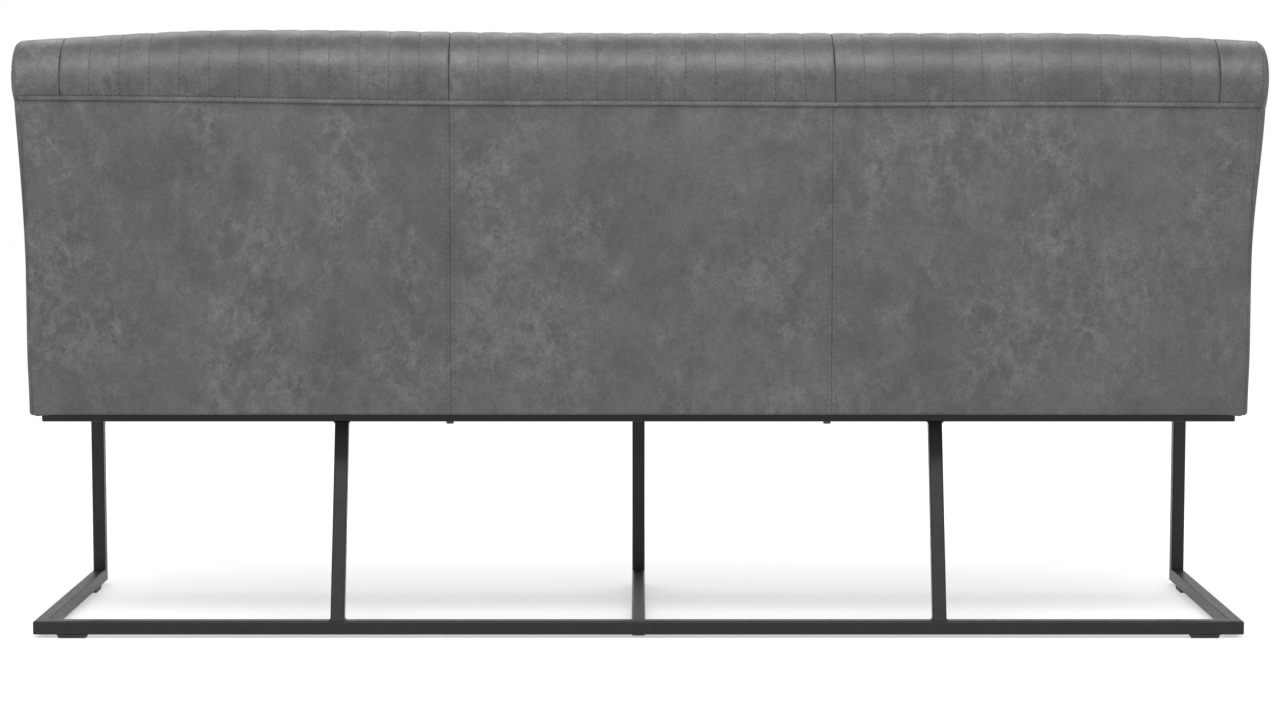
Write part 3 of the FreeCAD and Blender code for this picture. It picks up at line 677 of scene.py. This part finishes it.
def end_rings(side, sign):
    """An end of the back: its ring maker, depth of its seam, outline, spine, and points on the cover."""
    outline_x = sign * edge_x(TOP_Z, sign)
    u, z, normal_u, normal_z = end_outline(outline_x)
    count = back_line(outline_x)[0].shape[1]
    spine_top = TOP_Z - END_DROP - ROLL_REAR_RADIUS
    spine_foot = SHELL_Z + ROLL_REAR_RADIUS
    spine_z = np.clip(z, spine_foot, spine_top)
    share = (spine_top - spine_z) / (spine_top - spine_foot)
    spine_u = ROLL_FRONT_RADIUS + (ROLL_REAR_RADIUS + BULGE - ROLL_FRONT_RADIUS) * share
    radius = edge_radius(z, sign)
    shoulder = np.clip((z - seam_z(outline_x)) / END_CLIMB[side], 0, 1) ** CLIMB_POWER
    on_cover = np.arange(len(z)) < count
    depth = END_SEAM[side] * np.where(u > CREST_U, smooth((z - DECK_Z) / SEAM_RUN), shoulder)
    seam = np.where(on_cover, depth, 0) + LEAST_SEAM
    outline, spine = (u, z, normal_u, normal_z), (spine_u, spine_z)
    ring = ring_maker(outline, spine, radius, lambda ring_z: edge_x(ring_z, sign), sign)
    return ring, seam, outline, spine, count


def back_border(side, sign, leather, rows):
    """The plain border of the back, from its seam along the roll and over the shoulder to the end seam."""
    ring, seam, outline, _, count = end_rings(side, sign)
    steps = np.array((0.0,) + BORDER_STEPS)
    dips = pull(steps, SEAM_PULL, SEAM_REACH)
    points, _, along = back_surface(sign * (BORDER_SEAM_X[side] + steps),
                                    lambda along: -dips[:, None] * smooth(along / HEM_LINE))
    line_normals = normals_of(*outline[2:])[:count]
    edge = ring(0 * seam)[:count] + line_normals * hem(along[-1])[:, None]
    over = [ring(seam * part, sink)[:count] for part, sink in SHOULDER_STEPS]
    surface = np.concatenate([points, edge[None], np.array(over)])
    border = skin("back_border_" + side, closed_back(surface, surface[:, -1, 0]))
    finish_piece(border, leather, ("back_border_" + side,))
    hem_row(surface[:len(along)], np.repeat(line_normals[None], len(along), 0), along, rows)
    shown = seam[:count] > END_SEAM[side] / 2
    outward = line_normals * END_STITCH_UP + np.array([sign * END_STITCH_OUT, 0, 0])
    rows.append((ring(seam * END_STITCH_PLACE)[:count][shown], outward[shown], HEM_PITCH, 0.0))


def back_end(side, sign, leather):
    """The padded end of the back, from the end seam to its middle, closed behind."""
    ring, seam, outline, spine, _ = end_rings(side, sign)
    rings = [ring(seam + gap, sink) for gap, sink in END_STEPS]
    cap = padded_end("back_end_" + side, outline, spine, sign, ring, rings)
    finish_piece(cap, leather, ("back_end_cap_" + side,))


# Rear panels

def places_between(x0, x1, steps, count):
    """Places along the bench from seam to seam, closer beside the seams."""
    near = np.array(steps)
    width = x1 - x0
    inner = np.linspace(near[-1], width - near[-1], count)[1:-1]
    return x0 + np.concatenate([near, inner, width - near[::-1]])


def rear_panel(side, x0, x1, leather, rows):
    """A flat panel of the rear cover, turned under at its foot."""
    x = places_between(x0, x1, PANEL_STEPS, PANEL_COLUMNS)
    share = (x - x0) / (x1 - x0)
    drop = np.concatenate([PANEL_DROPS, np.linspace(PANEL_TOP, SEAM_Z - SHELL_Z - PANEL_FOOT, PANEL_ROWS)])
    low = SHELL_Z + PANEL_FOOT
    top = seam_z(x)[:, None]
    z = top - drop[None, :] * (top - low) / drop[-1]
    d0, d1 = (x - x0)[:, None], (x1 - x)[:, None]
    distance = np.minimum(d0, d1)
    open_edge = ((d0 <= d1) & (abs(x0) > PAST_SEAM_X)) | ((d1 < d0) & (abs(x1) > PAST_SEAM_X))
    swell = PANEL_SWELL * np.sin(math.pi * share)[:, None] ** PANEL_SWELL_POWER
    swell = swell * smooth(drop / PANEL_SWELL_REACH)[None, :]
    waver = RIPPLE * ripple(x[:, None], z, PANEL_RIPPLE_SIZE, PANEL_RIPPLE_SEED)
    laps = (d0 <= d1) if side != "left" else np.zeros_like(d0, bool)
    ridge = np.where(laps & ~open_edge, PANEL_RIDGE * hump(distance - PANEL_RIDGE_LINE, PANEL_RIDGE_REACH), 0)
    dip = np.where(open_edge, pull(distance, PANEL_EDGE_PULL, PANEL_EDGE_REACH),
                   pull(distance, PANEL_PULL, PANEL_PULL_REACH))
    groove = np.where(open_edge, 0, TOP_GROOVE * hump(distance - TOP_STITCH, TOP_GROOVE_REACH))
    padding = PANEL_RISE * hump(np.maximum(drop, 0), PANEL_RISE_REACH)[None, :]
    out = np.maximum(swell + waver + ridge + padding - dip - groove, -PANEL_SINK)
    sag = corner_sag(x, SHELL_Z)[:, None]
    z = z - corner_sag(x[:, None], z)
    turn = np.linspace(math.pi, 1.5 * math.pi, FOOT_POINTS)[None, 1:]
    flatten = 1 - np.linspace(0, 1, FOOT_POINTS - 1)[None, :]
    foot_u = PANEL_FOOT + PANEL_FOOT * np.cos(turn) - out[:, -1:] * flatten
    foot_z = low + PANEL_FOOT * np.sin(turn) - sag
    out_x = np.abs(x)[:, None]
    flare = np.where(out_x > PAST_SEAM_X, smooth((out_x - SECTION_X) / (END_X - SECTION_X)), 0)
    flare = flare * np.sign(x)[:, None]
    inside = (PANEL_TUCK, PANEL_TUCK, PANEL_FOOT, COVER_THICKNESS, COVER_THICKNESS)
    tuck_z = SHELL_Z + TUCK_THICKNESS - sag
    line_u = np.concatenate([-out, foot_u] + [place + 0 * sag for place in inside], axis=1)
    line_z = np.concatenate([z, foot_z, SHELL_Z - sag, tuck_z, tuck_z, low - sag, z[:, :1]], axis=1)
    reach = edge_x(line_z, np.sign(x)[:, None]) - END_X
    rings = world(x[:, None] + flare * reach, line_u, line_z)
    panel = skin("rear_cover_" + side, rings)
    normals = np.zeros((rings.shape[1], 3)) + np.array([0, 1.0, 0])
    stitched = PANEL_STEPS.index(TOP_STITCH)
    for index, is_open in ((stitched, open_edge[0, 0]), (len(x) - 1 - stitched, open_edge[-1, 0])):
        if not is_open:
            line = rings[index, PANEL_DROPS.index(FIRST_STITCH):z.shape[1]]
            rows.append((line, normals[:len(line)], STITCH_PITCH, 0.0))
    finish_piece(panel, leather, ("rear_panel_" + side,))


# Seat

BROW_U = CREST_U + ROLL_FRONT_RADIUS * math.cos(BACK_LEAN)
BROW_Z = TOP_Z - ROLL_FRONT_RADIUS * (1 - math.sin(BACK_LEAN))


def crease_u(z):
    """Where the seat meets the inner back at a height."""
    return BROW_U + (BROW_Z - z) * math.tan(BACK_LEAN)


def seat_line(crown, pulled):
    """The seat's outer lines, from the crease over the top and nose to its lower edge and back inside."""
    crown = crown[:, None]
    crown_z = SEAT_TOP_Z - SEAT_EDGE_Z - (1 - LEAST_BOW) * SEAT_BOW
    top_z = SEAT_EDGE_Z - LEAST_BOW * SEAT_BOW + crown_z * crown - pulled[:, None]
    front_u = FRONT_U - SEAT_FRONT_CROWN * (1 - crown) - pulled[:, None]
    rear_z = top_z - SEAT_REAR_ROUND
    rear_u = crease_u(rear_z) - CREASE_PRESS
    start_u = crease_u(DECK_Z) - CREASE_PRESS
    top_u, end_u = rear_u + SEAT_REAR_ROUND, front_u - SEAT_NOSE
    bow = SEAT_BOW * (LEAST_BOW + (1 - LEAST_BOW) * crown)
    low = SHELL_Z + PANEL_FOOT
    rise = np.linspace(0, 1, CREASE_POINTS)[None, :-1]
    turn = np.linspace(math.pi, math.pi / 2, REAR_ROUND_POINTS)[None, :-1]
    run = np.linspace(0, 1, TOP_POINTS)[None, :-1]
    nose = np.linspace(math.pi / 2, 0, NOSE_POINTS)[None, :-1]
    face = np.linspace(0, 1, FACE_POINTS)[None, :]
    foot = np.linspace(0, -math.pi / 2, LIP_POINTS)[None, 1:]
    parts = [
        (start_u + (rear_u - start_u) * rise, DECK_Z + (rear_z - DECK_Z) * rise),
        (rear_u + SEAT_REAR_ROUND * (1 + np.cos(turn)), rear_z + SEAT_REAR_ROUND * np.sin(turn)),
        (top_u + (end_u - top_u) * run, top_z + bow * np.sin(math.pi * run) ** BOW_POWER),
        (end_u + SEAT_NOSE * np.cos(nose), top_z - SEAT_NOSE + SEAT_NOSE * np.sin(nose)),
        (front_u + 0 * face, top_z - SEAT_NOSE + (low - top_z + SEAT_NOSE) * face),
        (front_u - PANEL_FOOT + PANEL_FOOT * np.cos(foot), low + PANEL_FOOT * np.sin(foot)),
        (front_u - SEAT_LIP, SHELL_Z),
        (front_u - SEAT_LIP, BOARD_Z - LIP_CLEARANCE),
        (front_u - SEAT_LIP / 2, DECK_Z),
        (start_u + 0 * front_u + SEAT_REAR_ROUND, DECK_Z),
    ]
    u = np.concatenate([part_u for part_u, _ in parts], axis=1)
    z = np.concatenate([part_z + 0 * front_u for _, part_z in parts], axis=1)
    return u, z


def loop_normals(u, z):
    """Outward normals of closed lines that run over the top from rear to front."""
    du = np.roll(u, -1, axis=1) - np.roll(u, 1, axis=1)
    dz = np.roll(z, -1, axis=1) - np.roll(z, 1, axis=1)
    size = np.maximum(np.hypot(du, dz), TINY)
    return -dz / size, du / size


def settle(rings, free):
    """Lets a cover swell over its padding by cloth simulation; free marks points that aren't sewn down."""
    rows, columns = rings.shape[:2]
    mesh = bpy.data.meshes.new("settling")
    mesh.from_pydata(rings.reshape(-1, 3).tolist(), [], grid_faces(rows, columns))
    sheet = bpy.data.objects.new("settling", mesh)
    bpy.context.collection.objects.link(sheet)
    sewn = sheet.vertex_groups.new(name="sewn")
    sewn.add(np.flatnonzero(~free.ravel()).tolist(), 1.0, "REPLACE")
    cloth = sheet.modifiers.new("cloth", "CLOTH")
    cloth.settings.vertex_group_mass = sewn.name
    for key, value in CLOTH.items():
        setattr(cloth.settings, key, value)
    cloth.settings.effector_weights.gravity = 0
    cloth.collision_settings.use_collision = False
    scene = bpy.context.scene
    for step in range(1, CLOTH_STEPS + 1):
        scene.frame_set(step)
    settled = sheet.evaluated_get(bpy.context.evaluated_depsgraph_get())
    moved = np.empty(3 * rows * columns)
    settled.data.vertices.foreach_get("co", moved)
    bpy.data.objects.remove(sheet)
    bpy.data.meshes.remove(mesh)
    scene.frame_set(1)
    shift = moved.reshape(rings.shape) - rings
    size = np.maximum(np.linalg.norm(shift, axis=-1, keepdims=True), TINY)
    return rings + shift * np.tanh(size / CLOTH_REACH) * CLOTH_REACH / size


def seat_section(side, x0, x1, leather, rows, crowned=True):
    """One cushion of the seat, or a plain border of it."""
    if crowned:
        x = places_between(x0, x1, SEAT_STEPS + CROWN_STEPS, CUSHION_COLUMNS)
    else:
        x = places_between(x0, x1, SEAT_STEPS, BORDER_COLUMNS)
    share = (x - x0) / (x1 - x0)
    distance = np.minimum(x - x0, x1 - x)
    crown = 1 - np.abs(2 * share - 1) ** CROWN_POWER if crowned else 0 * share
    outer = (np.abs(x) > END_X - END_MARGIN)
    dip = np.where(outer, 0, pull(distance, SEAT_SEAM_PULL, SEAT_SEAM_REACH))
    groove = SEAT_GROOVE * hump(distance - TOP_STITCH, SEAT_GROOVE_REACH)
    dip = dip + np.where(outer, 0, groove)
    u, z = seat_line(crown, dip)
    normal_u, normal_z = loop_normals(u, z)
    soft = sum(depth * ripple(x[:, None], u + z, size, seed) for depth, size, seed in SEAT_RIPPLES)
    soft = np.where(z > DECK_Z + SOFT_ABOVE, soft * smooth(distance / SOFT_REACH)[:, None], 0)
    rings = world(x[:, None], u + normal_u * soft, z + normal_z * soft)
    stitched = SEAT_STEPS.index(TOP_STITCH)
    if crowned:
        top = slice(CREASE_POINTS - 2, SEAT_FACE_START + FACE_POINTS - 3)
        free = np.ones(rings[:, top].shape[:2], bool)
        free[:, :2] = free[:, -2:] = False
        free[:stitched + 1] = free[-stitched - 1:] = False
        rings[:, top] = settle(rings[:, top], free)
    name = ("seat_cover_" if crowned else "seat_border_") + side
    cushion = skin(name, rings)
    nodes = (name, "seat_foam_" + side) if crowned else (name,)
    normals = normals_of(normal_u, normal_z)
    shown = slice(SEAT_TOP_START + 1, SEAT_FACE_START + FACE_POINTS - 2)
    for index in (stitched, len(x) - 1 - stitched):
        rows.append((rings[index, shown], normals[index, shown], STITCH_PITCH, 0.0))
    finish_piece(cushion, leather, nodes)


def seat_side(side, sign, leather):
    """The padded side of the seat."""
    u, z = (part[0, :-INSIDE_POINTS] for part in seat_line(np.zeros(1), np.zeros(1)))
    foot_u = np.linspace(u[-1], u[0], SIDE_FOOT_POINTS)[1:]
    rise_z = np.linspace(SHELL_Z, DECK_Z, SIDE_REAR_POINTS)[1:-1]
    u = np.concatenate([u, foot_u, 0 * rise_z + u[0]])
    z = np.concatenate([z, 0 * foot_u + SHELL_Z, rise_z])
    u = u - SIDE_PRESS * (1 - smooth((u - u.min()) / SIDE_PRESS_REACH))
    outline = (u, z, *(part[0] for part in loop_normals(u[None], z[None])))
    half = (SEAT_EDGE_Z - SHELL_Z) / 2
    spine = (np.clip(u, crease_u(DECK_Z) + half, FRONT_U - half), (SHELL_Z + SEAT_EDGE_Z) / 2)
    ring = ring_maker(outline, spine, EDGE_AT_FOOT, lambda ring_z: END_X, sign)
    rings = [ring(gap, sink) for gap, sink in SIDE_STEPS]
    cover = padded_end("seat_side_" + side, outline, spine, sign, ring, rings)
    finish_piece(cover, leather, ("seat_side_cover_" + side,))


# Dust cover

def dust_cover(cloth, steel):
    """Thin black cloth stapled under the shell."""
    low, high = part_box("dust_cover")
    rows, columns = DUST_GRID
    x = np.linspace(low.x, high.x, rows)
    y = np.linspace(low.y, high.y, columns)
    grid_x, grid_y = np.meshgrid(x, y, indexing="ij")
    edge = np.minimum.reduce([grid_x - low.x, high.x - grid_x, grid_y - low.y, high.y - grid_y])
    uneven = 1 + ripple(grid_x, grid_y, DUST_RIPPLE_SIZE, DUST_RIPPLE_SEED)
    sag = DUST_SAG * uneven * smooth(edge / DUST_EDGE)
    points = np.stack([grid_x, grid_y, low.z + DUST_LIFT - sag], axis=-1)
    sheet = piece_from("under_cloth", points, grid_faces(rows, columns))
    finish_piece(sheet, cloth, ("dust_cover",))
    places = []
    for line_y in (low.y + STAPLE_INSET, high.y - STAPLE_INSET):
        count = int((high.x - low.x) / STAPLE_PITCH)
        staple_x = (np.arange(count) + 0.5 - count / 2) * STAPLE_PITCH
        middle = np.stack([staple_x, line_y + 0 * staple_x, low.z + 0 * staple_x], axis=-1)
        places.append((middle, 0 * middle + [1, 0, 0], 0 * middle + [0, 0, -1]))
    staples = capsules("under_cloth_staples", places, STAPLE_LENGTH, STAPLE, 0.0)
    finish_piece(staples, steel)


# Materials

class Finish:
    """A new node material, with short ways to add to it."""

    def __init__(self, name):
        self.made = bpy.data.materials.new(name)
        self.made.use_nodes = True
        self.shader = self.made.node_tree.nodes["Principled BSDF"]
        self.link = self.made.node_tree.links.new
        self.where = self.add("ShaderNodeTexCoord").outputs["Object"]

    def add(self, kind, **settings):
        """A new node; a setting is the value of a socket or of the node itself."""
        node = self.made.node_tree.nodes.new(kind)
        for key, value in settings.items():
            if key in node.inputs:
                node.inputs[key].default_value = value
            else:
                setattr(node, key, value)
        return node

    def feed(self, output, socket):
        """Links an output to a socket of the shader."""
        self.link(output, self.shader.inputs[socket])

    def noise(self, scale, stretch=(1, 1, 1), detail=4.0, roughness=0.55, kind="FBM"):
        """Noise over the object's own coordinates, finer along an axis with a larger stretch."""
        mapping = self.add("ShaderNodeMapping", Scale=stretch)
        self.link(self.where, mapping.inputs["Vector"])
        texture = self.add("ShaderNodeTexNoise", noise_type=kind, Scale=scale, Detail=detail,
                           Roughness=roughness)
        self.link(mapping.outputs["Vector"], texture.inputs["Vector"])
        return texture.outputs["Fac"]

    def layer(self, scale, stops, **settings):
        """Noise through a colour ramp; a stop's colour is a grey or a red, green and blue."""
        node = self.add("ShaderNodeValToRGB")
        while len(node.color_ramp.elements) < len(stops):
            node.color_ramp.elements.new(0.5)
        for element, (place, colour) in zip(node.color_ramp.elements, stops):
            element.position = place
            element.color = (*colour, 1) if isinstance(colour, tuple) else (colour, colour, colour, 1)
        self.link(self.noise(scale, **settings), node.inputs["Fac"])
        return node.outputs["Color"]

    def mix(self, first, second, share=None):
        """Two colours mixed by a share, or multiplied where none is given."""
        node = self.add("ShaderNodeMix", data_type="RGBA", blend_type="MULTIPLY" if share is None else "MIX")
        node.inputs[MIX_SHARE].default_value = 1.0
        self.link(first, node.inputs[MIX_FIRST])
        self.link(second, node.inputs[MIX_SECOND])
        if share is not None:
            self.link(share, node.inputs[MIX_SHARE])
        return node.outputs[MIX_COLOUR]

    def bump(self, height, strength, depth, below=None):
        """A bump by a height, over another one."""
        node = self.add("ShaderNodeBump", Strength=strength, Distance=depth)
        self.link(height, node.inputs["Height"])
        if below is not None:
            self.link(below, node.inputs["Normal"])
        return node.outputs["Normal"]


def spread(tones):
    """Ramp stops from a dark tone to a pale one over the usual range of noise."""
    return tuple(zip(NOISE_RANGE, tones))


def leatherette():
    """Mottled vintage grey leatherette: pale wisps in clouds, mottles, veins, scratches, specks and grain."""
    finish = Finish("grey_leatherette")
    layer, mix = finish.layer, finish.mix

    def paler(tone, marks):
        return mix(tone, pale, mix(clouds, marks))

    tone = layer(4.5, spread(LEATHER_TONES), detail=2.0)
    tone = mix(tone, layer(16.0, MOTTLES, stretch=(1, 1, 0.9), detail=8.0, roughness=0.8))
    pale = layer(30.0, spread(LEATHER_PALE), detail=3.0)
    clouds = layer(9.0, CLOUDS, stretch=(1.1, 1, 0.8), detail=3.0, roughness=0.6)
    tone = paler(tone, layer(46.0, WISPS, stretch=(1.2, 1, 0.85), detail=7.0, roughness=0.72))
    for scale in VEIN_SCALES:
        tone = paler(tone, layer(scale, VEINS, stretch=(1, 1, 0.8), detail=6.0, roughness=0.62))
    for stretch in SCRATCH_STRETCHES:
        tone = paler(tone, layer(90.0, SCRATCHES, stretch=stretch, detail=3.0, roughness=0.5,
                                 kind="RIDGED_MULTIFRACTAL"))
    tone = mix(tone, layer(330.0, SPECKS, detail=3.0, roughness=0.8))
    finish.feed(tone, "Base Color")
    finish.feed(layer(22.0, spread(LEATHER_ROUGHNESS), detail=5.0), "Roughness")
    grain = finish.add("ShaderNodeTexVoronoi", Scale=900.0)
    finish.link(finish.where, grain.inputs["Vector"])
    fine = finish.bump(grain.outputs["Distance"], 0.22, 0.0003)
    creases = finish.noise(140.0, stretch=(0.7, 1, 1.2), detail=5.0, roughness=0.6)
    finish.feed(finish.bump(creases, 0.2, 0.0012, fine), "Normal")
    return finish.made


def plain_finish(name, dark, light, rough, scale, stretch=(1, 1, 1), metal=0.0, shine=0.5, bump=0.2):
    """A finish with a soft variation of tone and gloss and a fine bump."""
    finish = Finish(name)
    tone = finish.layer(scale, spread((dark, light)), stretch=stretch, detail=6.0, roughness=0.65)
    finish.feed(tone, "Base Color")
    finish.shader.inputs["Metallic"].default_value = metal
    finish.shader.inputs["Specular IOR Level"].default_value = shine
    gloss = spread((rough - GLOSS_SPREAD, rough + GLOSS_SPREAD))
    finish.feed(finish.layer(scale * GLOSS_FINER, gloss, stretch=stretch), "Roughness")
    height = finish.noise(scale * BUMP_FINER, stretch)
    finish.feed(finish.bump(height, bump, BUMP_DEPTH), "Normal")
    return finish.made


def powder_coat():
    """Black powder coat with a fine orange-peel texture."""
    return plain_finish("black_powder_coat", 0.007, 0.012, rough=0.40, scale=70.0, shine=0.28, bump=0.3)


def sawn_timber():
    """Pale sawn wood with its grain along the bench."""
    return plain_finish("sawn_timber", (0.40, 0.27, 0.15), (0.66, 0.50, 0.33), rough=0.78, scale=30.0,
                        stretch=(0.06, 1, 1), bump=0.5)


def spun_cloth():
    """Black spun cloth with a fibrous bump."""
    return plain_finish("spun_cloth", 0.010, 0.024, rough=0.92, scale=250.0, stretch=(1, 1.6, 1),
                        shine=0.2, bump=0.6)


def zinc_plate():
    """Bright zinc of screws, nuts and staples."""
    return plain_finish("zinc_plate", 0.45, 0.60, rough=0.35, scale=40.0, metal=1.0)


def black_zinc():
    """Dark zinc of the bolts under the seat."""
    return plain_finish("black_zinc", 0.05, 0.09, rough=0.45, scale=40.0, metal=1.0)


def oiled_wire():
    """Dark spring wire."""
    return plain_finish("oiled_wire", 0.20, 0.30, rough=0.40, scale=40.0, metal=1.0)


def black_plastic():
    """Matt moulded plastic."""
    return plain_finish("black_plastic", 0.012, 0.020, rough=0.55, scale=60.0, shine=0.3)


def grey_felt():
    """Needled felt."""
    return plain_finish("grey_felt", 0.26, 0.40, rough=0.95, scale=120.0, shine=0.1, bump=0.6)


def woven_band():
    """Brown elastic webbing."""
    return plain_finish("woven_band", (0.10, 0.08, 0.07), (0.24, 0.20, 0.17), rough=0.9, scale=300.0,
                        bump=0.8)


def open_foam():
    """Pale yellow foam."""
    return plain_finish("open_foam", (0.62, 0.57, 0.42), (0.78, 0.74, 0.62), rough=0.9, scale=200.0,
                        bump=0.8)


def grey_thread():
    """Sewing thread a little darker than the cover."""
    return plain_finish("grey_thread", 0.055, 0.075, rough=0.5, scale=800.0, bump=0.3)


def needle_shade():
    """The shade in a needle hole."""
    return plain_finish("needle_hole", 0.014, 0.022, rough=0.9, scale=800.0, shine=0.1)


def floor_finish():
    """A plain pale studio floor, partly lit from within."""
    made = plain_finish("pale_floor", 0.46, 0.48, rough=0.7, scale=0.8, shine=0.1, bump=0.02)
    glow = made.node_tree.nodes["Principled BSDF"].inputs
    glow["Emission Color"].default_value = (1, 1, 1, 1)
    glow["Emission Strength"].default_value = FLOOR_GLOW
    return made


def paint_node(name, finish):
    """Gives a CAD node a finish."""
    slots = frame["nodes"][name].data.materials
    slots.clear()
    slots.append(finish)


# Studio

def area_light(name, place, aim, size, power):
    """A large soft light at a place, turned to a point."""
    light = bpy.data.lights.new(name, "AREA")
    light.shape = "RECTANGLE"
    light.size, light.size_y = size
    light.energy = power
    lamp = bpy.data.objects.new(name, light)
    lamp.location = place
    lamp.rotation_euler = (Vector(aim) - Vector(place)).to_track_quat("-Z", "Y").to_euler()
    bpy.context.collection.objects.link(lamp)


def studio():
    """A plain pale floor, white light all round, and a long softbox above each side of the bench."""
    scene = bpy.context.scene
    scene.view_settings.view_transform = "Standard"
    sky = bpy.data.worlds.new("studio")
    sky.use_nodes = True
    light = sky.node_tree.nodes["Background"].inputs
    light["Color"].default_value = (1, 1, 1, 1)
    light["Strength"].default_value = SKY
    scene.world = sky
    half = FLOOR_SIZE / 2
    corners = [(x * half, y * half, FLOOR_Z) for x, y in ((-1, -1), (1, -1), (1, 1), (-1, 1))]
    floor = piece_from("floor", corners, [(0, 1, 2, 3)])
    floor.data.materials.append(floor_finish())
    roll = (0, REAR_Y, TOP_Z - ROLL_REAR_RADIUS)
    for name, side, power in (("rear_softbox", 1, REAR_LIGHT), ("front_softbox", -1, FRONT_LIGHT)):
        out = SOFTBOX_REACH * math.cos(SOFTBOX_RISE)
        place = (0, roll[1] + side * out, roll[2] + SOFTBOX_REACH * math.sin(SOFTBOX_RISE))
        area_light(name, place, roll, SOFTBOX_SIZE, power)


def camera():
    """The camera of the picture, looking at the rear of the bench."""
    lens = bpy.data.cameras.new("camera")
    lens.sensor_width = SENSOR
    lens.lens = FOCAL_PIXELS / PICTURE_WIDTH * SENSOR
    lens.shift_x = (PICTURE_WIDTH / 2 - AXIS_PIXEL) / PICTURE_WIDTH
    eye = bpy.data.objects.new("camera", lens)
    eye.location = (0, REAR_Y + CAMERA_BACK, CAMERA_HEIGHT)
    eye.rotation_euler = (math.radians(90 - CAMERA_PITCH), 0, math.pi)
    bpy.context.collection.objects.link(eye)
    bpy.context.scene.camera = eye


def thirds(seams, ends):
    """The two edges of each of three pieces, from where the seams and ends lie on each side."""
    return {"left": (-ends["left"], -seams["left"]), "middle": (-seams["left"], seams["right"]),
            "right": (seams["right"], ends["right"])}


def dress():
    """Makes every soft piece and finishes every CAD node that stays."""
    leather = leatherette()
    zinc = zinc_plate()
    cloth = spun_cloth()
    thread = grey_thread()
    shade = needle_shade()
    finishes = {
        "grey_leatherette": leather,
        "black_steel": powder_coat(),
        "zinc_hardware": zinc,
        "spring_steel": oiled_wire(),
        "timber": sawn_timber(),
        "black_plastic": black_plastic(),
        "felt": grey_felt(),
        "webbing": woven_band(),
        "foam": open_foam(),
        "dust_cloth": cloth,
    }
    for part in frame["record"]["subparts"]:
        paint_node(part["node"], finishes[part["material_slot"]])
    paint_node("frame_bolts", black_zinc())
    cushions = thirds(dict.fromkeys(SIDES, SECTION_X), dict.fromkeys(SIDES, BORDER_X))
    sections = thirds(SEAM_X, BORDER_SEAM_X)
    panels = thirds(SEAM_X, dict.fromkeys(SIDES, END_X))
    back_rows, panel_rows, seat_rows = [], [], []
    for side in sections:
        back_section(side, *sections[side], leather, back_rows)
        rear_panel(side, *panels[side], leather, panel_rows)
        seat_section(side, *cushions[side], leather, seat_rows)
    for side, sign in SIDES.items():
        back_border(side, sign, leather, back_rows)
        back_end(side, sign, leather)
        seat_section(side, *sorted((sign * BORDER_X, sign * END_X)), leather, seat_rows, crowned=False)
        seat_side(side, sign, leather)
    sew("back", back_rows, thread, shade)
    sew("rear_cover", panel_rows, thread, shade, SMALL_HOLE)
    sew("seat", seat_rows, thread, shade)
    dust_cover(cloth, zinc)


dress()
studio()
camera()
